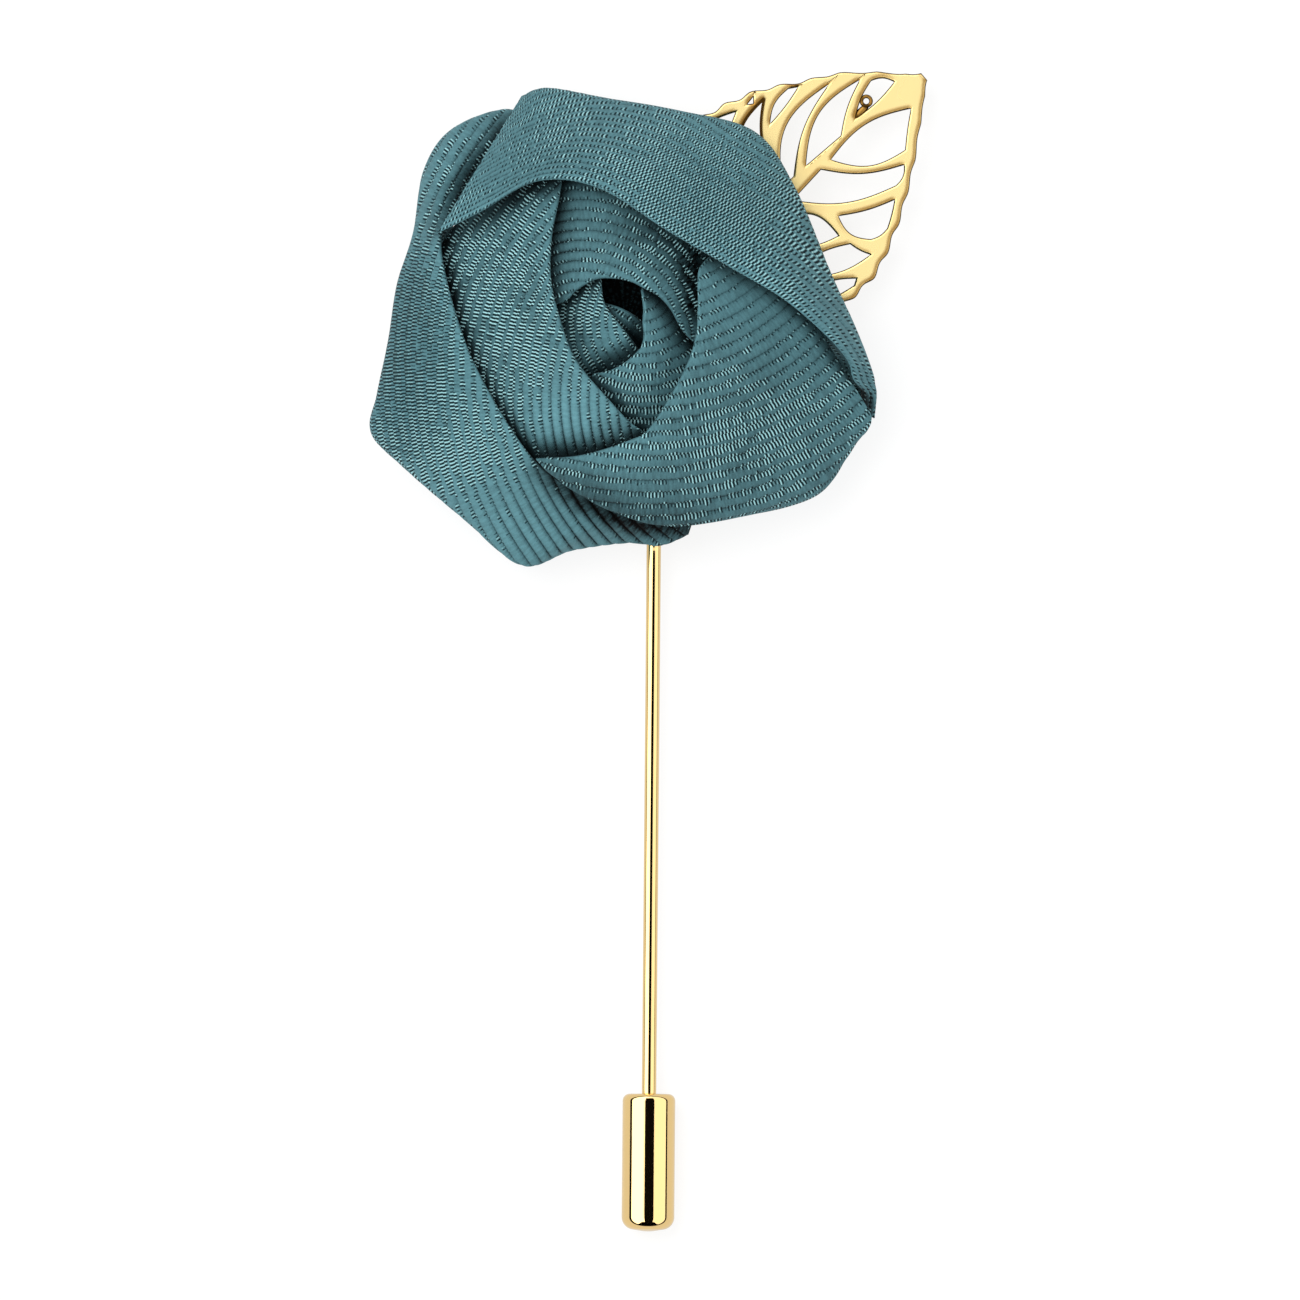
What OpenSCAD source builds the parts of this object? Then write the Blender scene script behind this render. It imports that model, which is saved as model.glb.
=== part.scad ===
// Stick lapel pin: a rose folded from ribbon, a pierced leaf behind it, a shaft and a barrel cap.
// It lies on its back. X is to the right, Y towards the top of the rose, Z out of its face.
// The origin is on the shaft's axis, level with the rose's lower edge.

/* [Shaft and cap] */
// radius of the shaft
shaft_r = 0.6; // [0.5:0.05:0.8]
// length of shaft that shows between the rose and the cap
shaft_l = 45.8; // [35:0.5:60]
// length of the tapered point inside the cap
point_l = 7.8; // [5:0.1:8.5]
// radius of the barrel cap
cap_r = 2.2; // [2:0.1:2.6]
// length of the barrel cap
cap_l = 11.5; // [10.5:0.5:14]
// radial room round the shaft in the cap
cap_room = 0.05; // [0.03:0.01:0.1]

/* [Ribbon] */
// thickness of a fold, which is two layers of ribbon
fold_t = 1.1; // [0.9:0.05:1.2]
// how far the rose is turned on its shaft, in degrees
rose_turn = 0.5; // [0:0.5:3]

/* [Leaf] */
// length of the leaf along its midrib
leaf_l = 29.2; // [27:0.1:31]
// thickness of the leaf
leaf_t = 0.7; // [0.5:0.05:0.7]
// angle of the midrib above the X axis, in degrees
leaf_lean = 40.6; // [38:0.1:43]
// height of one scallop of the rim
scallop = 0.15; // [0:0.05:0.3]

/* [Back of the rose] */
// radius of the gathered back
base_r = 11.5; // [10:0.5:12]
// radius of the pad that is soldered to the shaft
pad_r = 6; // [5:0.5:7]
// thickness of the pad
pad_t = 0.6; // [0.4:0.1:0.6]

/* [Hidden] */
$fn = 96;
small = 0.1;
pad_z = 2.4;
leaf_z = pad_z + pad_t + small;
base_z = leaf_z + leaf_t + 0.15;
heart = [-2.4, 18];
root = [0.4, 20.1];

// Each row of a fold's table is one section across it. Heights are above the table it lies on.
// columns: lip x, lip y, lip z, rim x, rim y, rim z, crown, tuck, foot, skirt
// The lip is the raised inner edge and the rim is the outer one. The crown is how far the cloth
// stands above a straight line between them. The skirt, from 0 to 1, is how much of the way the
// cloth runs on from the rim, in by the tuck and down to the foot.
petal_top_rows = [
    [-17.9, 26.1, 13.9, -11.3, 37.0, 7.4, 0.9, 1.0, 5.6, 0],
    [-14.3, 27.9, 14.9, -9.0, 37.8, 7.8, 1.3, 1.4, 4.8, 1],
    [-9.5, 30.4, 15.9, -3.9, 37.1, 8.0, 1.4, 3.0, 3.0, 1],
    [-4.4, 29.8, 16.5, 1.9, 36.1, 8.2, 1.4, 3.0, 4.2, 1],
    [1.4, 26.2, 16.9, 8.2, 34.3, 8.4, 1.5, 3.2, 4.3, 1],
    [6.4, 23.3, 16.9, 11.6, 29.8, 8.4, 1.4, 3.0, 4.3, 1],
    [10.9, 20.6, 16.3, 14.7, 22.7, 8.2, 1.2, 2.4, 4.5, 1],
    [14.4, 17.6, 15.0, 16.9, 18.0, 7.9, 1.0, 3.4, 4.4, 1],
    [16.3, 15.3, 13.0, 18.2, 14.6, 7.5, 0.6, 3.6, 0.8, 1],
    [16.8, 13.8, 11.2, 18.5, 13.3, 7.1, 0.4, 3.2, 1.0, 1],
    [17.5, 12.75, 8.2, 18.6, 12.3, 6.4, 0.2, 2.4, 1.6, 1],
    [17.35, 11.4, 4.8, 18.4, 10.6, 4.4, 0.1, 0.7, 2.9, 0.6]];

petal_left_rows = [
    [-9.6, 32.9, 6.8, -9.2, 35.2, 5.0, 0.2, 1.0, 3.0, 1],
    [-11.8, 32.2, 7.0, -12.4, 36.3, 5.8, 1.4, 1.6, 1.0, 1],
    [-14.6, 30.4, 8.0, -16.9, 34.6, 6.4, 2.2, 3.0, 0.3, 1],
    [-16.9, 28.0, 10.8, -19.2, 31.2, 6.6, 1.5, 3.4, 0.1, 1],
    [-17.9, 25.4, 12.3, -20.1, 26.0, 6.8, 0.6, 3.6, 0.1, 1],
    [-17.4, 21.8, 13.0, -21.4, 21.8, 6.9, 0.9, 4.2, 0.1, 1],
    [-16.1, 17.4, 13.5, -22.1, 17.1, 7.0, 1.2, 4.6, 0.1, 1],
    [-14.9, 14.5, 13.5, -23.0, 12.6, 7.0, 1.3, 5.0, 0.1, 1],
    [-12.4, 10.1, 13.0, -23.4, 9.4, 6.8, 1.3, 5.0, 0.1, 1],
    [-9.8, 6.7, 11.7, -20.7, 6.5, 6.4, 1.3, 4.6, 0.3, 1],
    [-6.4, 4.4, 10.5, -15.7, 2.2, 6.0, 1.3, 4.2, 1.2, 1],
    [-4.0, 3.6, 9.6, -10.9, -1.6, 5.8, 1.1, 3.4, 3.2, 1],
    [-1.8, 2.8, 8.9, -6.7, -0.4, 5.9, 0.8, 1.6, 4.0, 1],
    [0.0, 2.3, 8.3, -2.2, 0.2, 6.0, 0.4, 0.8, 4.4, 0.8],
    [1.7, 1.9, 7.8, 0.6, 0.0, 6.2, 0.2, 0.6, 4.6, 0.4],
    [3.3, 2.1, 7.4, 2.9, 0.9, 6.4, 0.1, 0.4, 4.8, 0]];

petal_right_rows = [
    [-9.7, 7.0, 13.2, -9.0, 6.2, 12.7, 0.1, 0.5, 11.4, 0],
    [-6.2, 7.2, 14.0, -6.7, 4.6, 12.3, 0.4, 0.8, 11.0, 0],
    [-2.2, 8.4, 14.8, -3.0, 2.8, 11.4, 0.8, 1.0, 10.0, 0.2],
    [-0.2, 9.6, 15.2, 1.5, 1.8, 9.7, 1.1, 1.4, 8.2, 0.5],
    [2.5, 14.0, 15.6, 8.2, 2.8, 8.0, 1.5, 4.4, 0.6, 1],
    [3.6, 17.0, 15.6, 12.2, 3.9, 7.1, 1.6, 5.0, 0.1, 1],
    [3.8, 19.6, 15.4, 14.2, 5.2, 6.8, 1.6, 5.0, 0.1, 1],
    [3.8, 21.5, 15.2, 15.6, 7.3, 6.6, 1.6, 5.0, 0.6, 1],
    [4.0, 22.9, 15.0, 16.6, 8.9, 6.8, 1.6, 4.6, 1.8, 1],
    [5.2, 24.0, 14.4, 17.4, 9.9, 7.2, 1.5, 3.8, 3.0, 0.9],
    [7.2, 24.6, 13.5, 17.8, 11.0, 8.0, 1.3, 1.8, 5.0, 0.5],
    [9.8, 24.4, 12.2, 17.65, 11.7, 8.4, 1.1, 0.6, 6.2, 0]];

petal_inner_left_rows = [
    [-7.6, 32.1, 13.6, -11.8, 31.2, 8.2, 0.9, 1.2, 6.2, 1],
    [-8.1, 28.8, 14.3, -15.0, 28.2, 9.0, 1.2, 3.2, 6.2, 1],
    [-8.7, 25.7, 14.6, -17.6, 24.8, 10.2, 1.1, 4.2, 6.2, 1],
    [-8.8, 22.2, 14.7, -17.2, 20.8, 11.1, 0.8, 4.4, 6.2, 1],
    [-8.1, 19.0, 14.7, -16.6, 16.6, 11.2, 0.8, 4.6, 6.2, 1],
    [-6.7, 15.3, 14.5, -15.2, 12.3, 10.9, 0.7, 4.6, 6.2, 1],
    [-3.7, 11.7, 14.1, -12.2, 8.6, 10.6, 0.8, 4.4, 6.2, 1],
    [-2.2, 10.1, 13.7, -8.5, 6.0, 9.2, 1.0, 3.4, 6.2, 1],
    [-1.1, 9.3, 13.4, -4.4, 5.4, 8.6, 0.8, 2.2, 6.2, 1],
    [0.2, 8.2, 12.6, -1.0, 4.8, 8.0, 0.4, 1.6, 6.2, 1]];

petal_inner_top_rows = [
    [-9.6, 20.0, 12.7, -11.4, 21.4, 11.2, 0.1, 1.4, 6.2, 1],
    [-7.6, 20.4, 13.2, -11.8, 26.0, 11.4, 0.3, 3.0, 6.2, 1],
    [-6.5, 21.4, 13.4, -9.6, 30.6, 11.4, 0.6, 4.0, 6.2, 1],
    [-4.9, 22.3, 13.6, -6.2, 31.8, 11.8, 0.8, 4.4, 6.2, 1],
    [-3.3, 22.4, 13.7, -2.6, 31.4, 12.2, 0.8, 4.4, 6.2, 1],
    [-1.8, 22.1, 13.7, 0.6, 29.4, 11.8, 0.6, 3.6, 6.2, 1],
    [-0.6, 21.5, 13.6, 3.0, 27.2, 11.2, 0.4, 2.6, 6.2, 1],
    [0.5, 20.9, 13.4, 4.6, 24.8, 10.8, 0.3, 2.0, 6.2, 1],
    [1.6, 19.7, 13.1, 5.0, 21.8, 10.6, 0.2, 1.2, 6.2, 1],
    [2.6, 17.9, 12.7, 5.2, 18.6, 10.4, 0.2, 0.8, 6.2, 1],
    [3.8, 16.6, 12.1, 5.6, 16.4, 10.2, 0.1, 0.6, 6.2, 1]];

bud_left_rows = [
    [-4.6, 22.6, 12.0, -6.8, 22.0, 10.8, 0.1, 0.8, 6.8, 1],
    [-4.4, 20.3, 12.3, -8.6, 19.6, 10.6, 0.4, 1.6, 6.8, 1],
    [-3.4, 18.7, 12.2, -8.8, 17.4, 10.6, 0.6, 2.0, 6.8, 1],
    [-2.3, 17.3, 11.7, -7.8, 14.8, 10.4, 0.5, 2.0, 6.8, 1],
    [-1.4, 16.1, 10.8, -6.1, 13.4, 9.2, 0.4, 1.6, 6.8, 1],
    [-0.6, 15.0, 10.0, -4.6, 13.2, 8.8, 0.2, 1.4, 6.8, 1]];

bud_right_rows = [
    [-5.2, 14.0, 12.2, -5.8, 12.3, 10.6, 0.1, 0.6, 9.0, 0],
    [-3.7, 14.3, 12.6, -4.6, 10.6, 10.2, 0.5, 0.8, 7.6, 1],
    [-2.5, 14.9, 12.7, -3.0, 8.8, 9.8, 0.8, 1.6, 6.8, 1],
    [-1.4, 15.8, 12.7, -0.4, 7.8, 9.6, 0.9, 2.4, 6.8, 1],
    [-0.9, 16.4, 12.7, 2.6, 10.4, 9.8, 0.8, 2.0, 6.8, 1],
    [-0.65, 17.3, 12.7, 3.9, 14.2, 10.0, 0.5, 1.4, 6.8, 1],
    [-0.7, 18.4, 12.6, 3.0, 17.2, 10.2, 0.3, 0.8, 6.8, 1],
    [-0.65, 19.8, 12.4, 1.9, 20.2, 10.4, 0.2, 0.6, 6.8, 1],
    [-0.9, 21.4, 12.2, 0.2, 22.4, 10.8, 0.1, 0.5, 6.8, 1]];

bud_core_rows = [
    [-5.6, 20.0, 10.0, -6.4, 18.6, 9.2, 0.1, 0.4, 7.4, 0],
    [-4.2, 19.9, 10.7, -5.0, 17.6, 9.6, 0.2, 0.4, 7.2, 0.5],
    [-2.8, 19.5, 10.6, -3.6, 16.8, 9.0, 0.3, 0.6, 6.8, 1],
    [-1.4, 18.7, 10.2, -2.4, 16.2, 8.4, 0.3, 0.6, 6.8, 1],
    [-0.2, 17.6, 9.6, -1.2, 15.8, 8.0, 0.2, 0.6, 6.8, 1]];

// Half the leaf's width along its midrib, on its left side and on its right.
// columns: distance from the root, width on the left, width on the right
leaf_rows = [[0, 1.0, 1.0], [3, 4.6, 4.6], [7, 8.1, 8.2], [11, 9.7, 9.9], [15, 9.05, 9.95],
             [18, 8.1, 8.75], [21, 6.45, 7.0], [24, 4.85, 4.85], [26.5, 2.85, 2.75],
             [28.2, 1.2, 1.3], [29.2, 0.4, 0.4]];

// The openings of the leaf, each with three or four corners, clockwise, and sides that bow out.
// columns: x and y of each corner in turn, then the bow of each side in turn
leaf_openings = [
    [22.6, 1.1, 25.6, 2.6, 27.0, 1.3, 0.2, 0.25, 0.2],
    [16.9, 0.8, 24.9, 3.3, 20.7, 0.8, 1.35, -0.25, 0],
    [14.3, 0.7, 22.7, 4.7, 15.5, 0.8, 1.8, -0.65, 0],
    [16.9, 5.4, 19.9, 6.6, 20.6, 6.2, 0.4, 0, 0.1],
    [12.4, 3.6, 18.1, 7.4, 14.6, 3.0, 1.3, -0.4, 0.1],
    [16.5, 7.85, 17.25, 8.0, 16.9, 7.6, 0, 0, 0],
    [12.6, 8.8, 15.3, 8.0, 14.0, 7.3, 0.1, 0, 0],
    [11.2, 0.8, 12.8, 7.2, 13.2, 0.8, 1.2, -0.4, 0],
    [8.2, 0.8, 10.2, 6.6, 10.1, 0.8, 0.9, -0.3, 0],
    [5.0, 0.8, 7.2, 5.2, 7.0, 0.8, 0.6, -0.2, 0],
    [18.8, -0.2, 26.6, -1.3, 24.0, -3.6, 0.9, -0.05, 0.9],
    [14.2, -0.7, 17.6, -0.3, 23.1, -4.5, 21.5, -5.35, 0, -0.55, 0.25, 0.8],
    [16.2, -4.2, 20.6, -6.2, 18.6, -7.6, 17.0, -7.4, -0.2, 0.05, 0.15, 0.6],
    [12.4, -1.4, 15.1, -5.4, 12.2, -4.2, 1.1, 0.15, 0.3],
    [11.4, -5.3, 15.4, -6.6, 16.1, -8.35, 11.4, -6.7, 0.25, -0.1, 0.4, 0.1],
    [10.6, -7.4, 13.9, -9.1, 13.4, -9.4, 10.6, -8.7, 0.25, 0, 0.1, 0],
    [8.6, -0.8, 10.9, -0.9, 10.4, -6.0, 0, -0.2, 0.8],
    [5.4, -0.8, 7.5, -0.8, 8.2, -5.6, 0, -0.2, 0.7]];

// A smooth curve through the rows of a table, from row i on to the next, with t from 0 to 1.
function through(rows, i, t) =
    let (m = len(rows) - 1,
         a = rows[max(i - 1, 0)],
         b = rows[i],
         c = rows[min(i + 1, m)],
         d = rows[min(i + 2, m)])
    b + 0.5 * t * ((c - a) + t * ((2 * a - 5 * b + 4 * c - d) + t * (3 * (b - c) + d - a)));

// The same curve as a list, with a number of steps between rows.
function drawn(rows, steps) =
    [for (i = [0:len(rows) - 2]) for (j = [0:steps - 1]) through(rows, i, j / steps),
     rows[len(rows) - 1]];

function mix(a, b, t) = a + (b - a) * t;
function share(x) = min(max(x, 0), 1);
// The direction to the inner side of the cloth, from the way the section runs there.
function inward(run) = [run[1], -run[0]] / norm(run);
function thick(n, across, t) = [n[0] * across, n[1] * t];

// The outer side of a section as five points, measured out from the lip and up from the table.
function outer_side(row, w, t) =
    let (lip = row[2], rim = row[5], foot = max(row[8], small), tuck = row[7], k = share(row[9]),
         bend = [w - 0.3 * tuck, foot + 0.35 * (rim - foot)],
         end = [w - tuck, foot])
    [[0, lip],
     [0.45 * w, mix(lip, rim, 0.45) + row[6]],
     [w, rim],
     mix([w, rim - 0.5 * t], bend, k),
     mix([w - 0.12 * min(t, 0.5 * w), rim - t], end, k)];

// The inner side, one fold's thickness in from the outer side.
function inner_side(row, w, t) =
    let (o = outer_side(row, w, t),
         q = min(t, 0.5 * w),
         rim = row[5],
         k = share(row[9]))
    [o[0] + [0.2 * q, -t],
     o[1] + [0, -t],
     mix([w - 0.8 * q, rim - t + 0.15], o[2] + thick(inward(o[3] - o[1]), q, t), k),
     mix([w - 0.65 * q, rim - t + 0.05], o[3] + thick(inward(o[4] - o[2]), q, t), k),
     mix([w - 0.5 * q, rim - t], o[4] + thick(inward(o[4] - o[3]), q, t), k)];

// Eleven points on a side: three steps to the crown and to the rim, and two on each skirt part.
function side_points(p) =
    [for (i = [0:3]) for (j = [0:(i < 2 ? 2 : 1)]) through(p, i, j / (i < 2 ? 3 : 2)), p[4]];

// A whole section as points in space: outer side, inner side, and the round nose of the lip.
function section(row, t) =
    let (w = norm([row[3] - row[0], row[4] - row[1]]),
         u = [row[3] - row[0], row[4] - row[1]] / w,
         o = side_points(outer_side(row, w, t)),
         n = side_points(inner_side(row, w, t)),
         nose = [-0.22 * min(t, w), row[2] - 0.5 * t])
    [for (q = concat(o, n, [nose])) [row[0] + u[0] * q[0], row[1] + u[1] * q[0], q[1] - cap_r]];

// One fold: a closed shell through its sections.
module fold(rows, steps = 2) {
    runs = drawn(rows, steps);
    m = 11;
    size = 2 * m + 1;
    last = len(runs) - 1;
    loop = concat([for (i = [0:m - 1]) i], [for (i = [0:m - 1]) 2 * m - 1 - i], [2 * m]);
    mid = floor(last / 2);
    along = [runs[mid + 1][0] - runs[mid][0], runs[mid + 1][1] - runs[mid][1]];
    across = [runs[mid][3] - runs[mid][0], runs[mid][4] - runs[mid][1]];
    turn = along[0] * across[1] - along[1] * across[0] > 0;
    points = [for (r = runs) each section(r, fold_t)];
    skin = [for (s = [0:last - 1]) for (i = [0:size - 1])
        let (j = (i + 1) % size,
             a = s * size + loop[i],
             b = s * size + loop[j],
             c = a + size,
             d = b + size)
        each [[a, b, d], [a, d, c]]];
    ends = [for (e = [[0, 1], [last, 0]]) for (i = [0:m - 2])
        let (b = e[0] * size + i)
        each (e[1] == 1 ? [[b, b + m, b + m + 1], [b, b + m + 1, b + 1]]
                        : [[b, b + m + 1, b + m], [b, b + 1, b + m + 1]])];
    noses = [[0, 2 * m, m], [last * size, last * size + m, last * size + 2 * m]];
    faces = concat(skin, ends, noses);
    polyhedron(points, turn ? faces : [for (f = faces) [f[2], f[1], f[0]]], convexity = 8);
}

module petal_top() {
    color([0.33, 0.50, 0.53]) rotate([0, 0, rose_turn]) fold(petal_top_rows);
}

module petal_left() {
    color([0.36, 0.53, 0.56]) rotate([0, 0, rose_turn]) fold(petal_left_rows);
}

module petal_right() {
    color([0.30, 0.47, 0.50]) rotate([0, 0, rose_turn]) fold(petal_right_rows);
}

module petal_inner_left() {
    color([0.38, 0.55, 0.58]) rotate([0, 0, rose_turn]) fold(petal_inner_left_rows);
}

module petal_inner_top() {
    color([0.28, 0.44, 0.47]) rotate([0, 0, rose_turn]) fold(petal_inner_top_rows);
}

module bud_left() {
    color([0.35, 0.52, 0.55]) rotate([0, 0, rose_turn]) fold(bud_left_rows);
}

module bud_right() {
    color([0.32, 0.48, 0.51]) rotate([0, 0, rose_turn]) fold(bud_right_rows);
}

module bud_core() {
    color([0.25, 0.40, 0.43]) rotate([0, 0, rose_turn]) fold(bud_core_rows);
}

// The gathered back, a low dish with a raised middle.
module rose_base() {
    color([0.28, 0.42, 0.45]) rotate([0, 0, rose_turn]) translate([heart[0], heart[1], -cap_r])
        rotate_extrude()
            polygon([[0, base_z], [base_r - 1, base_z], [base_r, base_z + 0.7],
                     [base_r - 0.4, base_z + 1.7], [base_r - 1.5, 6.05], [6.3, 6.05],
                     [5.4, 6.65], [0, 6.65]]);
}

function half_width(x, side) =
    let (i = max([for (k = [0:len(leaf_rows) - 2]) if (leaf_rows[k][0] <= x) k]),
         t = (x - leaf_rows[i][0]) / (leaf_rows[i + 1][0] - leaf_rows[i][0]))
    through([for (r = leaf_rows) r[side > 0 ? 1 : 2]], i, t);

// The rim's scallops, smaller towards both ends.
function rim_at(x, side) =
    let (k = x * leaf_rows[len(leaf_rows) - 1][0] / leaf_l)
    side * (half_width(k, side) + scallop * sin(180 * k / 29.2) * cos(360 * k / 2.3 + 155));

module leaf_outline() {
    steps = 72;
    polygon(concat([for (i = [0:steps]) let (x = leaf_l * i / steps) [x, rim_at(x, 1)]],
                   [for (i = [0:steps]) let (x = leaf_l * (1 - i / steps)) [x, rim_at(x, -1)]]));
}

// One side of an opening, from corner a to corner b, bowed out to the left of its way.
function bowed(a, b, bow) =
    let (steps = 8,
         left = [a[1] - b[1], b[0] - a[0]] / norm(b - a))
    [for (i = [0:steps - 1]) mix(a, b, i / steps) + left * bow * sin(180 * i / steps)];

module opening(row) {
    n = len(row) / 3;
    corners = [for (i = [0:n - 1]) [row[2 * i], row[2 * i + 1]]];
    polygon([for (i = [0:n - 1]) each bowed(corners[i], corners[(i + 1) % n], row[2 * n + i])]);
}

module leaf() {
    color([0.95, 0.80, 0.42]) rotate([0, 0, rose_turn]) translate([root[0], root[1], leaf_z - cap_r])
        rotate([0, 0, leaf_lean])
            linear_extrude(height = leaf_t)
                difference() {
                    leaf_outline();
                    for (row = leaf_openings) opening(row);
                }
}

// The round shaft, its point, the flattened stretch behind the rose and the pad soldered to it.
module stick_pin() {
    color([0.95, 0.80, 0.42]) union() {
        rotate([90, 0, 0]) cylinder(h = shaft_l - small, r = shaft_r);
        translate([0, small - shaft_l, 0]) rotate([90, 0, 0])
            cylinder(h = point_l, r1 = shaft_r, r2 = 0.08);
        translate([-0.7, 0, -0.45]) cube([1.4, 17, 0.9]);
        translate([0, 17, pad_z - cap_r]) cylinder(h = pad_t, r = pad_r);
    }
}

// The barrel cap, with a blind bore up its middle.
module pin_cap() {
    top = 0.6;
    low = 1.05;
    steps = 8;
    color([0.95, 0.80, 0.42]) translate([0, -shaft_l, 0]) rotate([90, 0, 0])
        difference() {
            rotate_extrude()
                polygon(concat(
                    [[0, 0]],
                    [for (i = [0:steps]) let (a = 90 * i / steps)
                        [cap_r - top + top * sin(a), top - top * cos(a)]],
                    [for (i = [0:steps]) let (a = 90 * i / steps)
                        [cap_r - low + low * cos(a), cap_l - low - 0.15 + low * sin(a)]],
                    [[0, cap_l]]));
            translate([0, 0, -1]) cylinder(h = 1 + point_l + 0.7, r = shaft_r + cap_room);
        }
}

petal_top();
petal_left();
petal_right();
petal_inner_left();
petal_inner_top();
bud_left();
bud_right();
bud_core();
rose_base();
leaf();
stick_pin();
pin_cap();
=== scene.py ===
# %% [markdown]
# A lapel pin: a rose folded from grosgrain ribbon, a pierced brass leaf behind it, a long shaft
# and a barrel cap that slides on the point. It lies on its back on a table. X is to the right, Y
# towards the top of the rose and Z out of its face, with the origin on the shaft's axis. The solid
# model is loaded first, because every size below is one of its sizes and Blender only dresses it.
# A pin is easier to think of in millimetres than in Blender's metres, so the numbers are in
# millimetres and are scaled as each mesh is made.

# %% Load the frame
import math
import bmesh
import bpy
import numpy as np
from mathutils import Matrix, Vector


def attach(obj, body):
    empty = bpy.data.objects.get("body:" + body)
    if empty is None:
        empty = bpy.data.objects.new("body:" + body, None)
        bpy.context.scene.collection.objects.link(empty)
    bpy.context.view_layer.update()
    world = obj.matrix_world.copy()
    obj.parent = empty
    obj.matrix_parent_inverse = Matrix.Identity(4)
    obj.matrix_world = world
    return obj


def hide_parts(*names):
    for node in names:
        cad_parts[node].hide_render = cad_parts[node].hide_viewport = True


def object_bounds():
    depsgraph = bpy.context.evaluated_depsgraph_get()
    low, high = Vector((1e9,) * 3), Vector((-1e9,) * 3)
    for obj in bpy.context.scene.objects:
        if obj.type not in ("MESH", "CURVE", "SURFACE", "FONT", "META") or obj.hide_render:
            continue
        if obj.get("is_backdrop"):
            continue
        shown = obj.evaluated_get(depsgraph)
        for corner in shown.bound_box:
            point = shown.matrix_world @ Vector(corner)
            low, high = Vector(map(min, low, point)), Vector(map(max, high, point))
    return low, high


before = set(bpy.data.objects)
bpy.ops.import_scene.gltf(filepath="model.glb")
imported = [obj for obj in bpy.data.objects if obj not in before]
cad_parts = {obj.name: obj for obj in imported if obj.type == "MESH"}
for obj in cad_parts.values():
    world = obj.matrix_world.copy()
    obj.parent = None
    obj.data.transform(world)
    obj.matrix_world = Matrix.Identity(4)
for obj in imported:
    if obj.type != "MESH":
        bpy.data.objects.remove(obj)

cad_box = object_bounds()
MM = 0.001
print("solid model, low and high corner in mm:",
      [[round(v / MM, 1) for v in corner] for corner in cad_box])

# %% [markdown]
# The photograph looks square at the rose, with hardly any perspective. An orthographic camera
# could do it, but a long lens three metres away gives the same picture and stays a real camera.
# The picture is about 108 mm wide at the height of the petals. The shaft leans by half a degree in
# it, so the camera is rolled by as much, and the rose and the leaf are turned to stand upright.

# %% Camera
PICTURE_WIDTH, PICTURE_CENTRE = 108.33, (-0.24, -8.75)
LENS_DISTANCE, PETAL_LEVEL = 3000.0, 6.0
SENSOR = 36.0
TABLE = -2.2
ROSE_TURN = math.radians(0.5)


def add_object(name, data):
    thing = bpy.data.objects.new(name, data)
    bpy.context.scene.collection.objects.link(thing)
    return thing


camera_data = bpy.data.cameras.new("camera")
camera_data.sensor_width = SENSOR
camera_data.lens = SENSOR * LENS_DISTANCE / PICTURE_WIDTH
camera_data.clip_start = 0.01
camera_data.clip_end = 20.0
camera = add_object("camera", camera_data)
camera.location = [v * MM for v in (*PICTURE_CENTRE, LENS_DISTANCE + PETAL_LEVEL)]
camera.rotation_euler = (0.0, 0.0, ROSE_TURN)
bpy.context.scene.camera = camera
bpy.context.scene.view_settings.view_transform = "Standard"
print("lens", round(camera_data.lens, 1), "mm")

# %% [markdown]
# Materials are made from nodes. These helpers keep the later cells short: one starts a material,
# one fills a socket with a number, a colour or another node's output, and most of the rest add one
# node each.

# %% Helpers for materials
def new_material(name):
    material = bpy.data.materials.new(name)
    material.use_nodes = True
    tree = material.node_tree
    tree.nodes.clear()
    out = tree.nodes.new("ShaderNodeOutputMaterial")
    shader = tree.nodes.new("ShaderNodeBsdfPrincipled")
    tree.links.new(shader.outputs[0], out.inputs[0])
    return material, tree, shader


def join(tree, value, socket):
    if isinstance(value, (int, float)):
        socket.default_value = value
    elif isinstance(value, (tuple, list)):
        socket.default_value = tuple(value)
    else:
        tree.links.new(value, socket)


def sums(tree, operation, a, b=0.0, c=0.0):
    node = tree.nodes.new("ShaderNodeMath")
    node.operation = operation
    for value, socket in zip((a, b, c), node.inputs):
        join(tree, value, socket)
    return node.outputs[0]


def add(tree, a, b):
    return sums(tree, "ADD", a, b)


def times(tree, a, b):
    return sums(tree, "MULTIPLY", a, b)


def times_add(tree, a, b, c):
    return sums(tree, "MULTIPLY_ADD", a, b, c)


def ramp(tree, value, low, high, to_low=0.0, to_high=1.0):
    node = tree.nodes.new("ShaderNodeMapRange")
    node.interpolation_type = "SMOOTHSTEP"
    for k, number in enumerate((value, low, high, to_low, to_high)):
        join(tree, number, node.inputs[k])
    return node.outputs[0]


def blend_colours(tree, share, a, b):
    node = tree.nodes.new("ShaderNodeMix")
    node.data_type = "RGBA"
    join(tree, share, node.inputs[0])
    join(tree, a, node.inputs[6])
    join(tree, b, node.inputs[7])
    return node.outputs[2]


def noise(tree, place, scale, detail=2.0):
    node = tree.nodes.new("ShaderNodeTexNoise")
    node.inputs["Scale"].default_value = scale
    node.inputs["Detail"].default_value = detail
    tree.links.new(place, node.inputs["Vector"])
    return node.outputs[0]


def split(tree, vector):
    node = tree.nodes.new("ShaderNodeSeparateXYZ")
    tree.links.new(vector, node.inputs[0])
    return node.outputs


def matt(name, grey, roughness):
    material, tree, shader = new_material(name)
    shader.inputs["Base Color"].default_value = (grey, grey, grey, 1)
    shader.inputs["Roughness"].default_value = roughness
    shader.inputs["Specular IOR Level"].default_value = 0.0
    return material, tree, shader


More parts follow.
